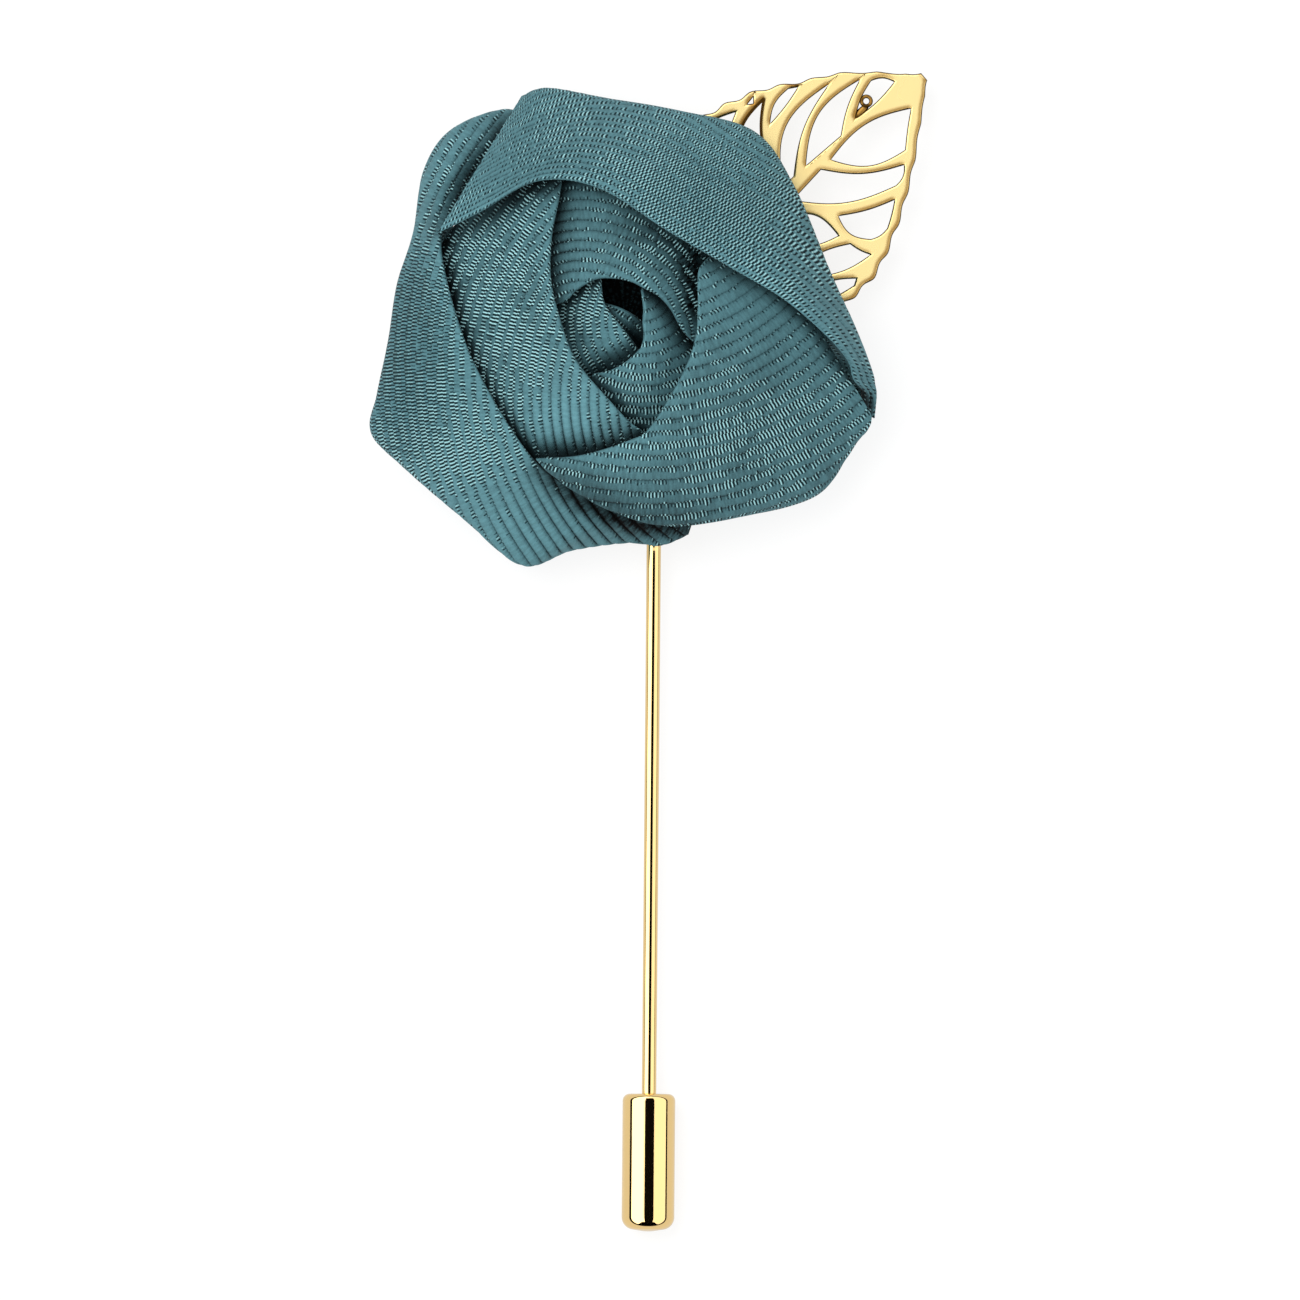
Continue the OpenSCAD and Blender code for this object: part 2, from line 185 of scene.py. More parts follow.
def fine_bump(tree, shader, height, strength, depth):
    bump = tree.nodes.new("ShaderNodeBump")
    bump.inputs["Strength"].default_value = strength
    bump.inputs["Distance"].default_value = depth * MM
    tree.links.new(height, bump.inputs["Height"])
    tree.links.new(bump.outputs[0], shader.inputs["Normal"])


print("helpers ready")

# %% [markdown]
# The pin lies on a plain pale table that hardly takes a shadow, and a large plane does for it.
# Part of its light is its own glow, which lifts it to nearly white the way a lit table looks.
# Mirrors see it darker, so that the polished cap keeps a warm edge.

# %% Floor
# left, right, foot and head
TABLE_SIDES, TABLE_GREY = (-1500, 1500, -1500, 1500), 0.20
GLOW_SEEN, GLOW_MIRRORED = 0.82, 0.60


def flat_card(name, sides, height, material):
    left, right, foot, head = [v * MM for v in sides]
    corners = [(left, foot, 0), (right, foot, 0), (right, head, 0), (left, head, 0)]
    mesh = bpy.data.meshes.new(name)
    mesh.from_pydata(corners, [], [(0, 1, 2, 3)])
    mesh.materials.append(material)
    card = add_object(name, mesh)
    card.location = (0, 0, height * MM)
    card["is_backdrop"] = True
    return card


def pale_table():
    material, tree, shader = matt("pale_table", TABLE_GREY, 0.9)
    shader.inputs["Emission Color"].default_value = (1, 1, 1, 1)
    ray = tree.nodes.new("ShaderNodeLightPath")
    glow = ramp(tree, ray.outputs["Is Glossy Ray"], 0.0, 1.0, GLOW_SEEN, GLOW_MIRRORED)
    tree.links.new(glow, shader.inputs["Emission Strength"])
    return material


flat_card("table_top", TABLE_SIDES, TABLE, pale_table())
print("table at z =", TABLE, "mm")

# %% [markdown]
# The light is a white tent, as for small metal goods: even light from all over, a little stronger
# from the left. Polished metal shows the tent itself, so for mirror rays it has a bright panel on
# the left, a softer one on the right and a dark gap just above the table, thin at the sides and
# taller beyond the cap's foot.

# %% Light
PANEL_LEFT, PANEL_RIGHT, PANEL_TOP = 2.7, 1.45, 1.08
GAP_LEFT, GAP_RIGHT, GAP_FOOT = 0.21, 0.15, 0.70
EVEN_LEFT, EVEN_RIGHT, BACKDROP = 0.98, 0.80, 0.97


def mirrored_tent(tree, x, y, z):
    side = ramp(tree, x, -0.25, 0.25, PANEL_LEFT, PANEL_RIGHT)
    top = ramp(tree, z, 0.90, 0.99)
    panel = add(tree, times(tree, side, sums(tree, "SUBTRACT", 1.0, top)),
                times(tree, top, PANEL_TOP))
    foot = times(tree, ramp(tree, y, -0.40, -0.80, 0.0, GAP_FOOT),
                 ramp(tree, sums(tree, "ABSOLUTE", x), 0.35, 0.55, 1.0, 0.0))
    low = add(tree, ramp(tree, x, -0.3, 0.3, GAP_LEFT, GAP_RIGHT), foot)
    return times(tree, panel, ramp(tree, sums(tree, "SUBTRACT", z, low), -0.02, 0.02))


def either(tree, choice, a, b):
    node = tree.nodes.new("ShaderNodeMix")
    for value, socket in zip((choice, a, b), (node.inputs[0], node.inputs[2], node.inputs[3])):
        join(tree, value, socket)
    return node.outputs[0]


def light_tent():
    world = bpy.data.worlds.new("tent")
    bpy.context.scene.world = world
    world.use_nodes = True
    tree = world.node_tree
    tree.nodes.clear()
    x, y, z = split(tree, tree.nodes.new("ShaderNodeTexCoord").outputs["Generated"])
    ray = tree.nodes.new("ShaderNodeLightPath")
    even = ramp(tree, x, -1.0, 1.0, EVEN_LEFT, EVEN_RIGHT)
    lit = either(tree, ray.outputs["Is Glossy Ray"], even, mirrored_tent(tree, x, y, z))
    glow = tree.nodes.new("ShaderNodeBackground")
    glow.inputs[0].default_value = (1, 1, 1, 1)
    tree.links.new(either(tree, ray.outputs["Is Camera Ray"], lit, BACKDROP), glow.inputs[1])
    out = tree.nodes.new("ShaderNodeOutputWorld")
    tree.links.new(glow.outputs[0], out.inputs[0])


def soft_panel(name, place, aim, size, power):
    data = bpy.data.lights.new(name, "AREA")
    data.shape = "DISK"
    data.size = size * MM
    data.energy = power
    lamp = add_object(name, data)
    lamp.location = [v * MM for v in place]
    lamp.rotation_euler = (Vector(aim) - Vector(place)).to_track_quat("-Z", "Y").to_euler()
    lamp.visible_glossy = False
    lamp.visible_camera = False


light_tent()
soft_panel("key", (-150, 120, 420), (0, 15, 8), 300, 1.0)
print("tent and one soft panel")

# %% [markdown]
# The dark stripe down the polished shaft and cap is the reflection of a black flag that hangs over
# them. A photographer uses a strip of black card, and so does this scene: only mirror rays see it,
# so it casts no shadow and hides nothing from the camera.

# %% Black flag
FLAG_SIDES, FLAG_HEIGHT = (-11.5, 17.5, -118, 0), 40
black_card, _, _ = matt("black_card", 0.004, 1.0)
flag = flat_card("black_flag", FLAG_SIDES, FLAG_HEIGHT, black_card)
flag.visible_camera = False
flag.visible_diffuse = False
flag.visible_shadow = False
flag.visible_transmission = False
print("flag", FLAG_SIDES[1] - FLAG_SIDES[0], "mm wide,", FLAG_HEIGHT, "mm over the shaft")

# %% [markdown]
# The rose is one long ribbon, folded on itself and wound round a bud. Each fold that shows is its
# own shell: a table gives it a few sections, from its raised inner lip to its outer rim and down
# the skirt behind. Sculpting or a cloth simulation could make such folds too, but a table can be
# read and changed a row at a time, and the solid model is built from the same one. The first three
# folds are the outer petals.

# %% Sections of the outer petals
# columns: lip x, lip y, lip z, rim x, rim y, rim z, crown, tuck, foot, skirt
PETAL_TOP = np.array([
    [-17.9, 26.1, 13.9, -11.3, 37.0, 7.4, 0.9, 1.0, 5.6, 0],
    [-14.3, 27.9, 14.9, -9.0, 37.8, 7.8, 1.3, 1.4, 4.8, 1],
    [-9.5, 30.4, 15.9, -3.9, 37.1, 8.0, 1.4, 3.0, 3.0, 1],
    [-4.4, 29.8, 16.5, 1.9, 36.1, 8.2, 1.4, 3.0, 4.2, 1],
    [1.4, 26.2, 16.9, 8.2, 34.3, 8.4, 1.5, 3.2, 4.3, 1],
    [6.4, 23.3, 16.9, 11.6, 29.8, 8.4, 1.4, 3.0, 4.3, 1],
    [10.9, 20.6, 16.3, 14.7, 22.7, 8.2, 1.2, 2.4, 4.5, 1],
    [14.4, 17.6, 15.0, 16.9, 18.0, 7.9, 1.0, 3.4, 4.4, 1],
    [16.3, 15.3, 13.0, 18.2, 14.6, 7.5, 0.6, 3.6, 0.8, 1],
    [16.8, 13.8, 11.2, 18.5, 13.3, 7.1, 0.4, 3.2, 1.0, 1],
    [17.5, 12.75, 8.2, 18.6, 12.3, 6.4, 0.2, 2.4, 1.6, 1],
    [17.35, 11.4, 4.8, 18.4, 10.6, 4.4, 0.1, 0.7, 2.9, 0.6],
])
PETAL_LEFT = np.array([
    [-9.6, 32.9, 6.8, -9.2, 35.2, 5.0, 0.2, 1.0, 3.0, 1],
    [-11.8, 32.2, 7.0, -12.4, 36.3, 5.8, 1.4, 1.6, 1.0, 1],
    [-14.6, 30.4, 8.0, -16.9, 34.6, 6.4, 2.2, 3.0, 0.3, 1],
    [-16.9, 28.0, 10.8, -19.2, 31.2, 6.6, 1.5, 3.4, 0.1, 1],
    [-17.9, 25.4, 12.3, -20.1, 26.0, 6.8, 0.6, 3.6, 0.1, 1],
    [-17.4, 21.8, 13.0, -21.4, 21.8, 6.9, 0.9, 4.2, 0.1, 1],
    [-16.1, 17.4, 13.5, -22.1, 17.1, 7.0, 1.2, 4.6, 0.1, 1],
    [-14.9, 14.5, 13.5, -23.0, 12.6, 7.0, 1.3, 5.0, 0.1, 1],
    [-12.4, 10.1, 13.0, -23.4, 9.4, 6.8, 1.3, 5.0, 0.1, 1],
    [-9.8, 6.7, 11.7, -20.7, 6.5, 6.4, 1.3, 4.6, 0.3, 1],
    [-6.4, 4.4, 10.5, -15.7, 2.2, 6.0, 1.3, 4.2, 1.2, 1],
    [-4.0, 3.6, 9.6, -10.9, -1.6, 5.8, 1.1, 3.4, 3.2, 1],
    [-1.8, 2.8, 8.9, -6.7, -0.4, 5.9, 0.8, 1.6, 4.0, 1],
    [0.0, 2.3, 8.3, -2.2, 0.2, 6.0, 0.4, 0.8, 4.4, 0.8],
    [1.7, 1.9, 7.8, 0.6, 0.0, 6.2, 0.2, 0.6, 4.6, 0.4],
    [3.3, 2.1, 7.4, 2.9, 0.9, 6.4, 0.1, 0.4, 4.8, 0],
])
PETAL_RIGHT = np.array([
    [-9.7, 7.0, 13.2, -9.0, 6.2, 12.7, 0.1, 0.5, 11.4, 0],
    [-6.2, 7.2, 14.0, -6.7, 4.6, 12.3, 0.4, 0.8, 11.0, 0],
    [-2.2, 8.4, 14.8, -3.0, 2.8, 11.4, 0.8, 1.0, 10.0, 0.2],
    [-0.2, 9.6, 15.2, 1.5, 1.8, 9.7, 1.1, 1.4, 8.2, 0.5],
    [2.5, 14.0, 15.6, 8.2, 2.8, 8.0, 1.5, 4.4, 0.6, 1],
    [3.6, 17.0, 15.6, 12.2, 3.9, 7.1, 1.6, 5.0, 0.1, 1],
    [3.8, 19.6, 15.4, 14.2, 5.2, 6.8, 1.6, 5.0, 0.1, 1],
    [3.8, 21.5, 15.2, 15.6, 7.3, 6.6, 1.6, 5.0, 0.6, 1],
    [4.0, 22.9, 15.0, 16.6, 8.9, 6.8, 1.6, 4.6, 1.8, 1],
    [5.2, 24.0, 14.4, 17.4, 9.9, 7.2, 1.5, 3.8, 3.0, 0.9],
    [7.2, 24.6, 13.5, 17.8, 11.0, 8.0, 1.3, 1.8, 5.0, 0.5],
    [9.8, 24.4, 12.2, 17.65, 11.7, 8.4, 1.1, 0.6, 6.2, 0],
])
print("rows:", len(PETAL_TOP), len(PETAL_LEFT), len(PETAL_RIGHT))

# %% [markdown]
# The two inner petals wrap the bud from the left and from above. Their lips stand a little lower
# than the outer ones, so each petal shades the next.

# %% Sections of the inner petals
PETAL_INNER_LEFT = np.array([
    [-7.6, 32.1, 13.6, -11.8, 31.2, 8.2, 0.9, 1.2, 6.2, 1],
    [-8.1, 28.8, 14.3, -15.0, 28.2, 9.0, 1.2, 3.2, 6.2, 1],
    [-8.7, 25.7, 14.6, -17.6, 24.8, 10.2, 1.1, 4.2, 6.2, 1],
    [-8.8, 22.2, 14.7, -17.2, 20.8, 11.1, 0.8, 4.4, 6.2, 1],
    [-8.1, 19.0, 14.7, -16.6, 16.6, 11.2, 0.8, 4.6, 6.2, 1],
    [-6.7, 15.3, 14.5, -15.2, 12.3, 10.9, 0.7, 4.6, 6.2, 1],
    [-3.7, 11.7, 14.1, -12.2, 8.6, 10.6, 0.8, 4.4, 6.2, 1],
    [-2.2, 10.1, 13.7, -8.5, 6.0, 9.2, 1.0, 3.4, 6.2, 1],
    [-1.1, 9.3, 13.4, -4.4, 5.4, 8.6, 0.8, 2.2, 6.2, 1],
    [0.2, 8.2, 12.6, -1.0, 4.8, 8.0, 0.4, 1.6, 6.2, 1],
])
PETAL_INNER_TOP = np.array([
    [-9.6, 20.0, 12.7, -11.4, 21.4, 11.2, 0.1, 1.4, 6.2, 1],
    [-7.6, 20.4, 13.2, -11.8, 26.0, 11.4, 0.3, 3.0, 6.2, 1],
    [-6.5, 21.4, 13.4, -9.6, 30.6, 11.4, 0.6, 4.0, 6.2, 1],
    [-4.9, 22.3, 13.6, -6.2, 31.8, 11.8, 0.8, 4.4, 6.2, 1],
    [-3.3, 22.4, 13.7, -2.6, 31.4, 12.2, 0.8, 4.4, 6.2, 1],
    [-1.8, 22.1, 13.7, 0.6, 29.4, 11.8, 0.6, 3.6, 6.2, 1],
    [-0.6, 21.5, 13.6, 3.0, 27.2, 11.2, 0.4, 2.6, 6.2, 1],
    [0.5, 20.9, 13.4, 4.6, 24.8, 10.8, 0.3, 2.0, 6.2, 1],
    [1.6, 19.7, 13.1, 5.0, 21.8, 10.6, 0.2, 1.2, 6.2, 1],
    [2.6, 17.9, 12.7, 5.2, 18.6, 10.4, 0.2, 0.8, 6.2, 1],
    [3.8, 16.6, 12.1, 5.6, 16.4, 10.2, 0.1, 0.6, 6.2, 1],
])
print("rows:", len(PETAL_INNER_LEFT), len(PETAL_INNER_TOP))

# %% [markdown]
# The bud is the start of the ribbon, rolled tight. Three small folds stand round a dark hole.

# %% Sections of the bud
BUD_LEFT = np.array([
    [-4.6, 22.6, 12.0, -6.8, 22.0, 10.8, 0.1, 0.8, 6.8, 1],
    [-4.4, 20.3, 12.3, -8.6, 19.6, 10.6, 0.4, 1.6, 6.8, 1],
    [-3.4, 18.7, 12.2, -8.8, 17.4, 10.6, 0.6, 2.0, 6.8, 1],
    [-2.3, 17.3, 11.7, -7.8, 14.8, 10.4, 0.5, 2.0, 6.8, 1],
    [-1.4, 16.1, 10.8, -6.1, 13.4, 9.2, 0.4, 1.6, 6.8, 1],
    [-0.6, 15.0, 10.0, -4.6, 13.2, 8.8, 0.2, 1.4, 6.8, 1],
])
BUD_RIGHT = np.array([
    [-5.2, 14.0, 12.2, -5.8, 12.3, 10.6, 0.1, 0.6, 9.0, 0],
    [-3.7, 14.3, 12.6, -4.6, 10.6, 10.2, 0.5, 0.8, 7.6, 1],
    [-2.5, 14.9, 12.7, -3.0, 8.8, 9.8, 0.8, 1.6, 6.8, 1],
    [-1.4, 15.8, 12.7, -0.4, 7.8, 9.6, 0.9, 2.4, 6.8, 1],
    [-0.9, 16.4, 12.7, 2.6, 10.4, 9.8, 0.8, 2.0, 6.8, 1],
    [-0.65, 17.3, 12.7, 3.9, 14.2, 10.0, 0.5, 1.4, 6.8, 1],
    [-0.7, 18.4, 12.6, 3.0, 17.2, 10.2, 0.3, 0.8, 6.8, 1],
    [-0.65, 19.8, 12.4, 1.9, 20.2, 10.4, 0.2, 0.6, 6.8, 1],
    [-0.9, 21.4, 12.2, 0.2, 22.4, 10.8, 0.1, 0.5, 6.8, 1],
])
BUD_CORE = np.array([
    [-5.6, 20.0, 10.0, -6.4, 18.6, 9.2, 0.1, 0.4, 7.4, 0],
    [-4.2, 19.9, 10.7, -5.0, 17.6, 9.6, 0.2, 0.4, 7.2, 0.5],
    [-2.8, 19.5, 10.6, -3.6, 16.8, 9.0, 0.3, 0.6, 6.8, 1],
    [-1.4, 18.7, 10.2, -2.4, 16.2, 8.4, 0.3, 0.6, 6.8, 1],
    [-0.2, 17.6, 9.6, -1.2, 15.8, 8.0, 0.2, 0.6, 6.8, 1],
])
print("rows:", len(BUD_LEFT), len(BUD_RIGHT), len(BUD_CORE))

# %% [markdown]
# A fold is drawn through its table with a Catmull-Rom curve, which passes through every point it
# is given. The same function serves along the petal, from row to row, and across it, from point to
# point of one section.

# %% A smooth curve through points
def curve(points, places):
    last = len(points) - 1
    i = np.clip(np.floor(places).astype(int), 0, last - 1)
    t = (places - i).reshape([-1] + [1] * (points.ndim - 1))
    a, b = points[np.maximum(i - 1, 0)], points[i]
    c, d = points[i + 1], points[np.minimum(i + 2, last)]
    return b + 0.5 * t * ((c - a) + t * ((2 * a - 5 * b + 4 * c - d) + t * (3 * (b - c) + d - a)))


def even_places(points, step):
    fine = np.linspace(0, len(points) - 1, 40 * (len(points) - 1) + 1)
    path = curve(points, fine)
    moved = np.linalg.norm(np.diff(path, axis=0), axis=-1)
    while moved.ndim > 1:
        moved = moved.max(axis=1)
    walked = np.concatenate([[0], np.cumsum(moved)])
    return np.interp(np.linspace(0, walked[-1], max(int(walked[-1] / step), 4) + 1), walked, fine)


print("curve through", len(PETAL_TOP), "rows:", curve(PETAL_TOP, np.array([2.5]))[0].round(2)[:3])

# %% [markdown]
# Each section is a folded band of ribbon, two layers thick. Its outer side runs from the lip over
# the crown to the rim and down the skirt, and its inner side lies one thickness in. Heights are
# above the table. The same rules built the solid, so the two agree.

# %% One section of a fold
FOLD = 1.1


def at(x, z):
    return np.stack([x, z], axis=1)


def side_points(rows):
    lip, rim, crown = rows[:, 2], rows[:, 5], rows[:, 6]
    tuck, foot, k = rows[:, 7], np.maximum(rows[:, 8], 0.1), np.clip(rows[:, 9:10], 0, 1)
    w = np.linalg.norm(rows[:, 3:5] - rows[:, 0:2], axis=1)
    bend = at(w - 0.3 * tuck, foot + 0.35 * (rim - foot))
    end = at(w - tuck, foot)
    q = np.minimum(FOLD, 0.5 * w)
    outer = [at(0 * w, lip), at(0.45 * w, lip + 0.45 * (rim - lip) + crown), at(w, rim),
             (1 - k) * at(w, rim - 0.5 * FOLD) + k * bend,
             (1 - k) * at(w - 0.12 * q, rim - FOLD) + k * end]
    def inset(point, run):
        n = at(run[:, 1], -run[:, 0]) / np.linalg.norm(run, axis=1, keepdims=True)
        return k * (point + n * at(q, 0 * q + FOLD))
    inner = [outer[0] + at(0.2 * q, 0 * q - FOLD),
             outer[1] + at(0 * q, 0 * q - FOLD),
             (1 - k) * at(w - 0.8 * q, rim - FOLD + 0.15) + inset(outer[2], outer[3] - outer[1]),
             (1 - k) * at(w - 0.65 * q, rim - FOLD + 0.05) + inset(outer[3], outer[4] - outer[2]),
             (1 - k) * at(w - 0.5 * q, rim - FOLD) + inset(outer[4], outer[4] - outer[3])]
    return np.array(outer), np.array(inner), w


print("section of petal_top, outer side:",
      side_points(PETAL_TOP[4:5])[0][:, 0].round(1).tolist())

# %% [markdown]
# The mesh of a fold is a grid: stations along the petal, and points round each section. The outer
# side gets small cells, because the ribs of the ribbon are carved on it as real relief, and the
# hidden inner side needs few. The lip is closed with a half round, the way ribbon folds over.

# %% The grid of a fold
INNER_POINTS, NOSE_POINTS = 22, 7


def half_round(outer, inner, w):
    turn = np.linspace(0, math.pi, NOSE_POINTS + 2)[1:-1].reshape(-1, 1)
    share = (1 + np.cos(turn)) / 2
    bulge = 0.22 * np.minimum(FOLD, w) + 0.1 * np.minimum(FOLD, 0.5 * w)
    middle = share[..., None] * inner[0] + (1 - share[..., None]) * outer[0]
    return middle - np.stack([bulge * np.sin(turn), 0 * bulge * turn], axis=2)


def fold_grid(rows, cell):
    lips_and_rims = rows[:, :6].reshape(-1, 2, 3)
    runs = curve(rows, even_places(lips_and_rims, cell))
    outer, inner, w = side_points(runs)
    top = curve(outer, even_places(outer[:3], cell))
    skirt = curve(outer, 2 + even_places(outer[2:], 2.2 * cell))[1:]
    under = curve(inner, np.linspace(4, 0, INNER_POINTS))
    loop = np.concatenate([top, skirt, under, half_round(outer, inner, w)])
    out = (runs[:, 3:5] - runs[:, 0:2]) / w[:, None]
    plan = runs[None, :, 0:2] + loop[:, :, 0:1] * out[None]
    points = np.concatenate([plan, loop[:, :, 1:2] + TABLE], axis=2)
    return {"runs": runs, "top": len(top), "over": len(top) + len(skirt), "loop": loop,
            "out": out, "points": points.transpose(1, 0, 2)}


grid = fold_grid(BUD_LEFT, 0.15)
print("bud_left grid, stations by points round:", grid["points"].shape[:2])

# %% [markdown]
# Grosgrain has ribs about a millimetre apart. On each petal they run as arcs, because the ribbon
# turns as it is wound, so a rib is told by its distance from a centre and a thread by its angle
# round it. On the top petal the ribs run beside the lip instead. Down the skirt the cloth is
# unrolled first, so that the ribs carry on over the rim at their true spacing.

# %% Where the ribs and threads run
THREAD, WIDE_THREAD = 0.30, 0.42


def unrolled(grid):
    steps = np.linalg.norm(np.diff(grid["loop"][:grid["over"]], axis=0), axis=2)
    walked = np.concatenate([0 * steps[:1], np.cumsum(steps, axis=0)])
    to_rim = walked[grid["top"] - 1]
    out = grid["loop"][:, :, 0].copy()
    beyond = walked[grid["top"]:] - to_rim
    out[grid["top"]:grid["over"]] = grid["loop"][grid["top"] - 1, :, 0] + beyond
    nose = slice(grid["over"] + INNER_POINTS, None)
    drop = grid["loop"][0, :, 1] - grid["loop"][nose, :, 1]
    out[nose] = grid["loop"][nose, :, 0] - 0.6 * drop
    return out


def round_a_centre(grid, centre, pitch):
    out = unrolled(grid)
    flat = grid["runs"][None, :, 0:2] + out[:, :, None] * grid["out"][None]
    away = flat - np.array(centre)
    middle = away[:grid["top"]].reshape(-1, 2).mean(axis=0)
    angle = np.arctan2(away[..., 1], away[..., 0]) - math.atan2(middle[1], middle[0])
    angle = (angle + math.pi) % (2 * math.pi) - math.pi
    ribs = np.linalg.norm(away, axis=2) / pitch
    return np.stack([ribs, angle * pitch * 0.5 / THREAD, 0 * ribs + 2.0], axis=2)


def beside_the_lip(grid, pitch, growth):
    out = unrolled(grid)
    lip = grid["runs"][:, 0:2]
    walked = np.concatenate([[0], np.cumsum(np.linalg.norm(np.diff(lip, axis=0), axis=1))])
    threads = np.broadcast_to(walked / WIDE_THREAD, out.shape)
    return np.stack([out / pitch + 20.0, threads, 0 * out + growth], axis=2)


weave = round_a_centre(grid, (0.5, 18.5), 0.73)
print("bud_left crosses", int(np.ptp(weave[:grid["top"], :, 0])), "ribs")

# %% [markdown]
# Between two ribs there is a narrow groove, and the rib itself is gently rounded. Each point of
# the outer side is moved in along its own normal by that much, a few hundredths of a millimetre. A
# bump map alone would look the same from the front, but not along the rim, where the ribs show
# against the light.

# %% Ribs as relief
GROOVE, GROOVE_WIDTH = 0.075, 0.17
ROUNDING = 0.05


def normals_of(points):
    n = np.cross(np.gradient(points, axis=1), np.gradient(points, axis=0))
    return n / np.maximum(np.linalg.norm(n, axis=2, keepdims=True), 1e-9)


def raise_ribs(grid, weave, flute):
    points = grid["points"].copy()
    over = grid["over"]
    n = normals_of(points[:, :over])
    if n[:, :grid["top"], 2].mean() < 0:
        n = -n
    far = np.abs(weave[:over, :, 0].T % 1.0 - 0.5) * 2
    flute = flute[:, :over]
    dip = GROOVE * (0.6 + 0.4 * flute) * np.exp(-((1 - far) / GROOVE_WIDTH) ** 2)
    dip += ROUNDING * (0.5 + 2.3 * flute) * far ** 2.5
    points[:, :over] -= n * dip[:, :, None]
    return points


print("groove", GROOVE, "mm deep")

# %% [markdown]
# A real ribbon isn't the same all over: in some patches its threads stand out as strong strokes of
# painted glint and shade, and in others they nearly vanish. Each petal names a few such patches:
# x, y, reach and strength. Other lists of patches paint light and shade on the cloth, raise its
# ribs as round flutes, or set the threads in a close pattern of bricks. Painted shade along a
# crease is a reach, a strength and a line of points. The lip is painted a little lighter, where
# the fold catches the light.

# %% Patches of stronger and weaker thread, and of painted light and shade
# Painted highlight along the lip: its strength and its width.
LIP_LIGHT, LIP_WIDTH = 0.16, 0.9


def patches(points, spots, start):
    value = np.full(points.shape[:2], start, dtype=float)
    for x, y, reach, strength in spots:
        away = (points[..., 0] - x) ** 2 + (points[..., 1] - y) ** 2
        value = value + strength * np.exp(-away / reach ** 2)
    return np.clip(value, -1, 1.5)


def distance_from(points, a, b):
    from_a = points[..., :2] - a
    t = np.clip((from_a @ (b - a)) / ((b - a) @ (b - a)), 0, 1)
    return np.linalg.norm(from_a - t[..., None] * (b - a), axis=2)


# Painted shade along a line of points, fading with the distance from it.
def crease_shade(points, lines):
    value = np.zeros(points.shape[:2])
    for reach, strength, line in lines:
        ends = zip(np.array(line[:-1]), np.array(line[1:]))
        away = np.min([distance_from(points, a, b) for a, b in ends], axis=0)
        value += strength * np.exp(-(away / reach) ** 2)
    return value


def lip_light(grid):
    return LIP_LIGHT * np.exp(-(grid["loop"][:, :, 0].T / LIP_WIDTH) ** 2)


tried = patches(np.array([[[2.0, 29.0], [9.0, 29.0]]]), [(2, 29, 6, 0.45)], 0.28)
print("strength at a patch and 7 mm beside it:", tried.round(2).tolist()[0])

# %% [markdown]
# A woven thread shows as a stroke: a wave along the rib, a painted glint on one half and painted
# shade on the other, that fades out a short way from the groove. White noise gives each stroke a
# strength of its own, as no two threads are pulled alike, and where the bricks are, a second row
# of strokes lies between the first. A picture of cloth could be laid on instead, but it would
# stretch wherever the petal turns.

# %% Strokes of thread
GROOVE_SIDE = 0.08
THREAD_SHIFT = 0.37


def numbers(tree, attribute):
    node = tree.nodes.new("ShaderNodeAttribute")
    node.attribute_name = attribute
    return split(tree, node.outputs["Vector"])


def spot(tree, a, b):
    node = tree.nodes.new("ShaderNodeCombineXYZ")
    join(tree, a, node.inputs[0])
    join(tree, b, node.inputs[1])
    return node.outputs[0]


def strokes(tree, ribs, count, power, fine, shift):
    rows = add(tree, ribs, 0.5 - shift)
    row = sums(tree, "FLOOR", rows)
    off = sums(tree, "ABSOLUTE", add(tree, sums(tree, "FRACT", rows), -0.5 - GROOVE_SIDE))
    along = add(tree, times_add(tree, row, THREAD_SHIFT, count), shift)
    each = tree.nodes.new("ShaderNodeTexWhiteNoise")
    tree.links.new(spot(tree, row, sums(tree, "FLOOR", along)), each.inputs["Vector"])
    one = each.outputs[0]
    reach = times(tree, ramp(tree, power, -0.2, 1.2, 0.08, 0.36), times_add(tree, one, 0.6, 0.7))
    reach = times_add(tree, fine, 0.10, reach)
    fade = ramp(tree, off, reach, add(tree, reach, 0.12), 1.0, 0.0)
    force = ramp(tree, times_add(tree, one, 0.75, power), -0.15, 1.25, 0.10, 1.0)
    wave = sums(tree, "SINE", times(tree, along, 2 * math.pi))
    return times(tree, times(tree, wave, fade), force)


def light_and_dark(tree, main, between, brick, fine):
    # The light half of a stroke is a painted glint and the dark half is painted shade.
    light = sums(tree, "MAXIMUM", main, times(tree, between, 0.5))
    less = times_add(tree, brick, -0.45, times_add(tree, fine, -0.35, 1.0))
    dark = sums(tree, "MAXIMUM", times(tree, main, -1.0), times(tree, between, -1.0))
    more = times_add(tree, fine, 0.6, 1.0)
    return (times(tree, sums(tree, "MAXIMUM", light, 0.0), less),
            times(tree, sums(tree, "MAXIMUM", dark, 0.0), more))


print("strokes stand", GROOVE_SIDE, "of a rib beside the groove")

# %% [markdown]
# One material serves all petals. It reads the rib and thread numbers that each petal carries, so
# the weave follows every fold. The plain colour is teal, a little uneven from thread to thread. On
# top of the real relief, painted shade darkens it in the grooves and on the rounded sides of the
# ribs, and much more where two petals meet, and each petal's painted light and shade is laid on it
# too. The strokes lie on top of it with a little bump, a painted glint on their light half and
# painted shade on their dark half, and are smoother where they are light, which is the satin glint
# of grosgrain.

# %% Ribbon cloth
TEAL = (0.074, 0.175, 0.200)
# Thread strokes: a painted shade colour for their dark half and a painted glint colour for their
# light half.
THREAD_SHADE, THREAD_GLINT = (0.003, 0.011, 0.014, 1), (0.36, 0.66, 0.69, 1)
# Painted shade in nooks: the reach of the ambient occlusion, and the least share of colour it
# leaves.
NOOK, NOOK_SHADE = 2.6, 0.04


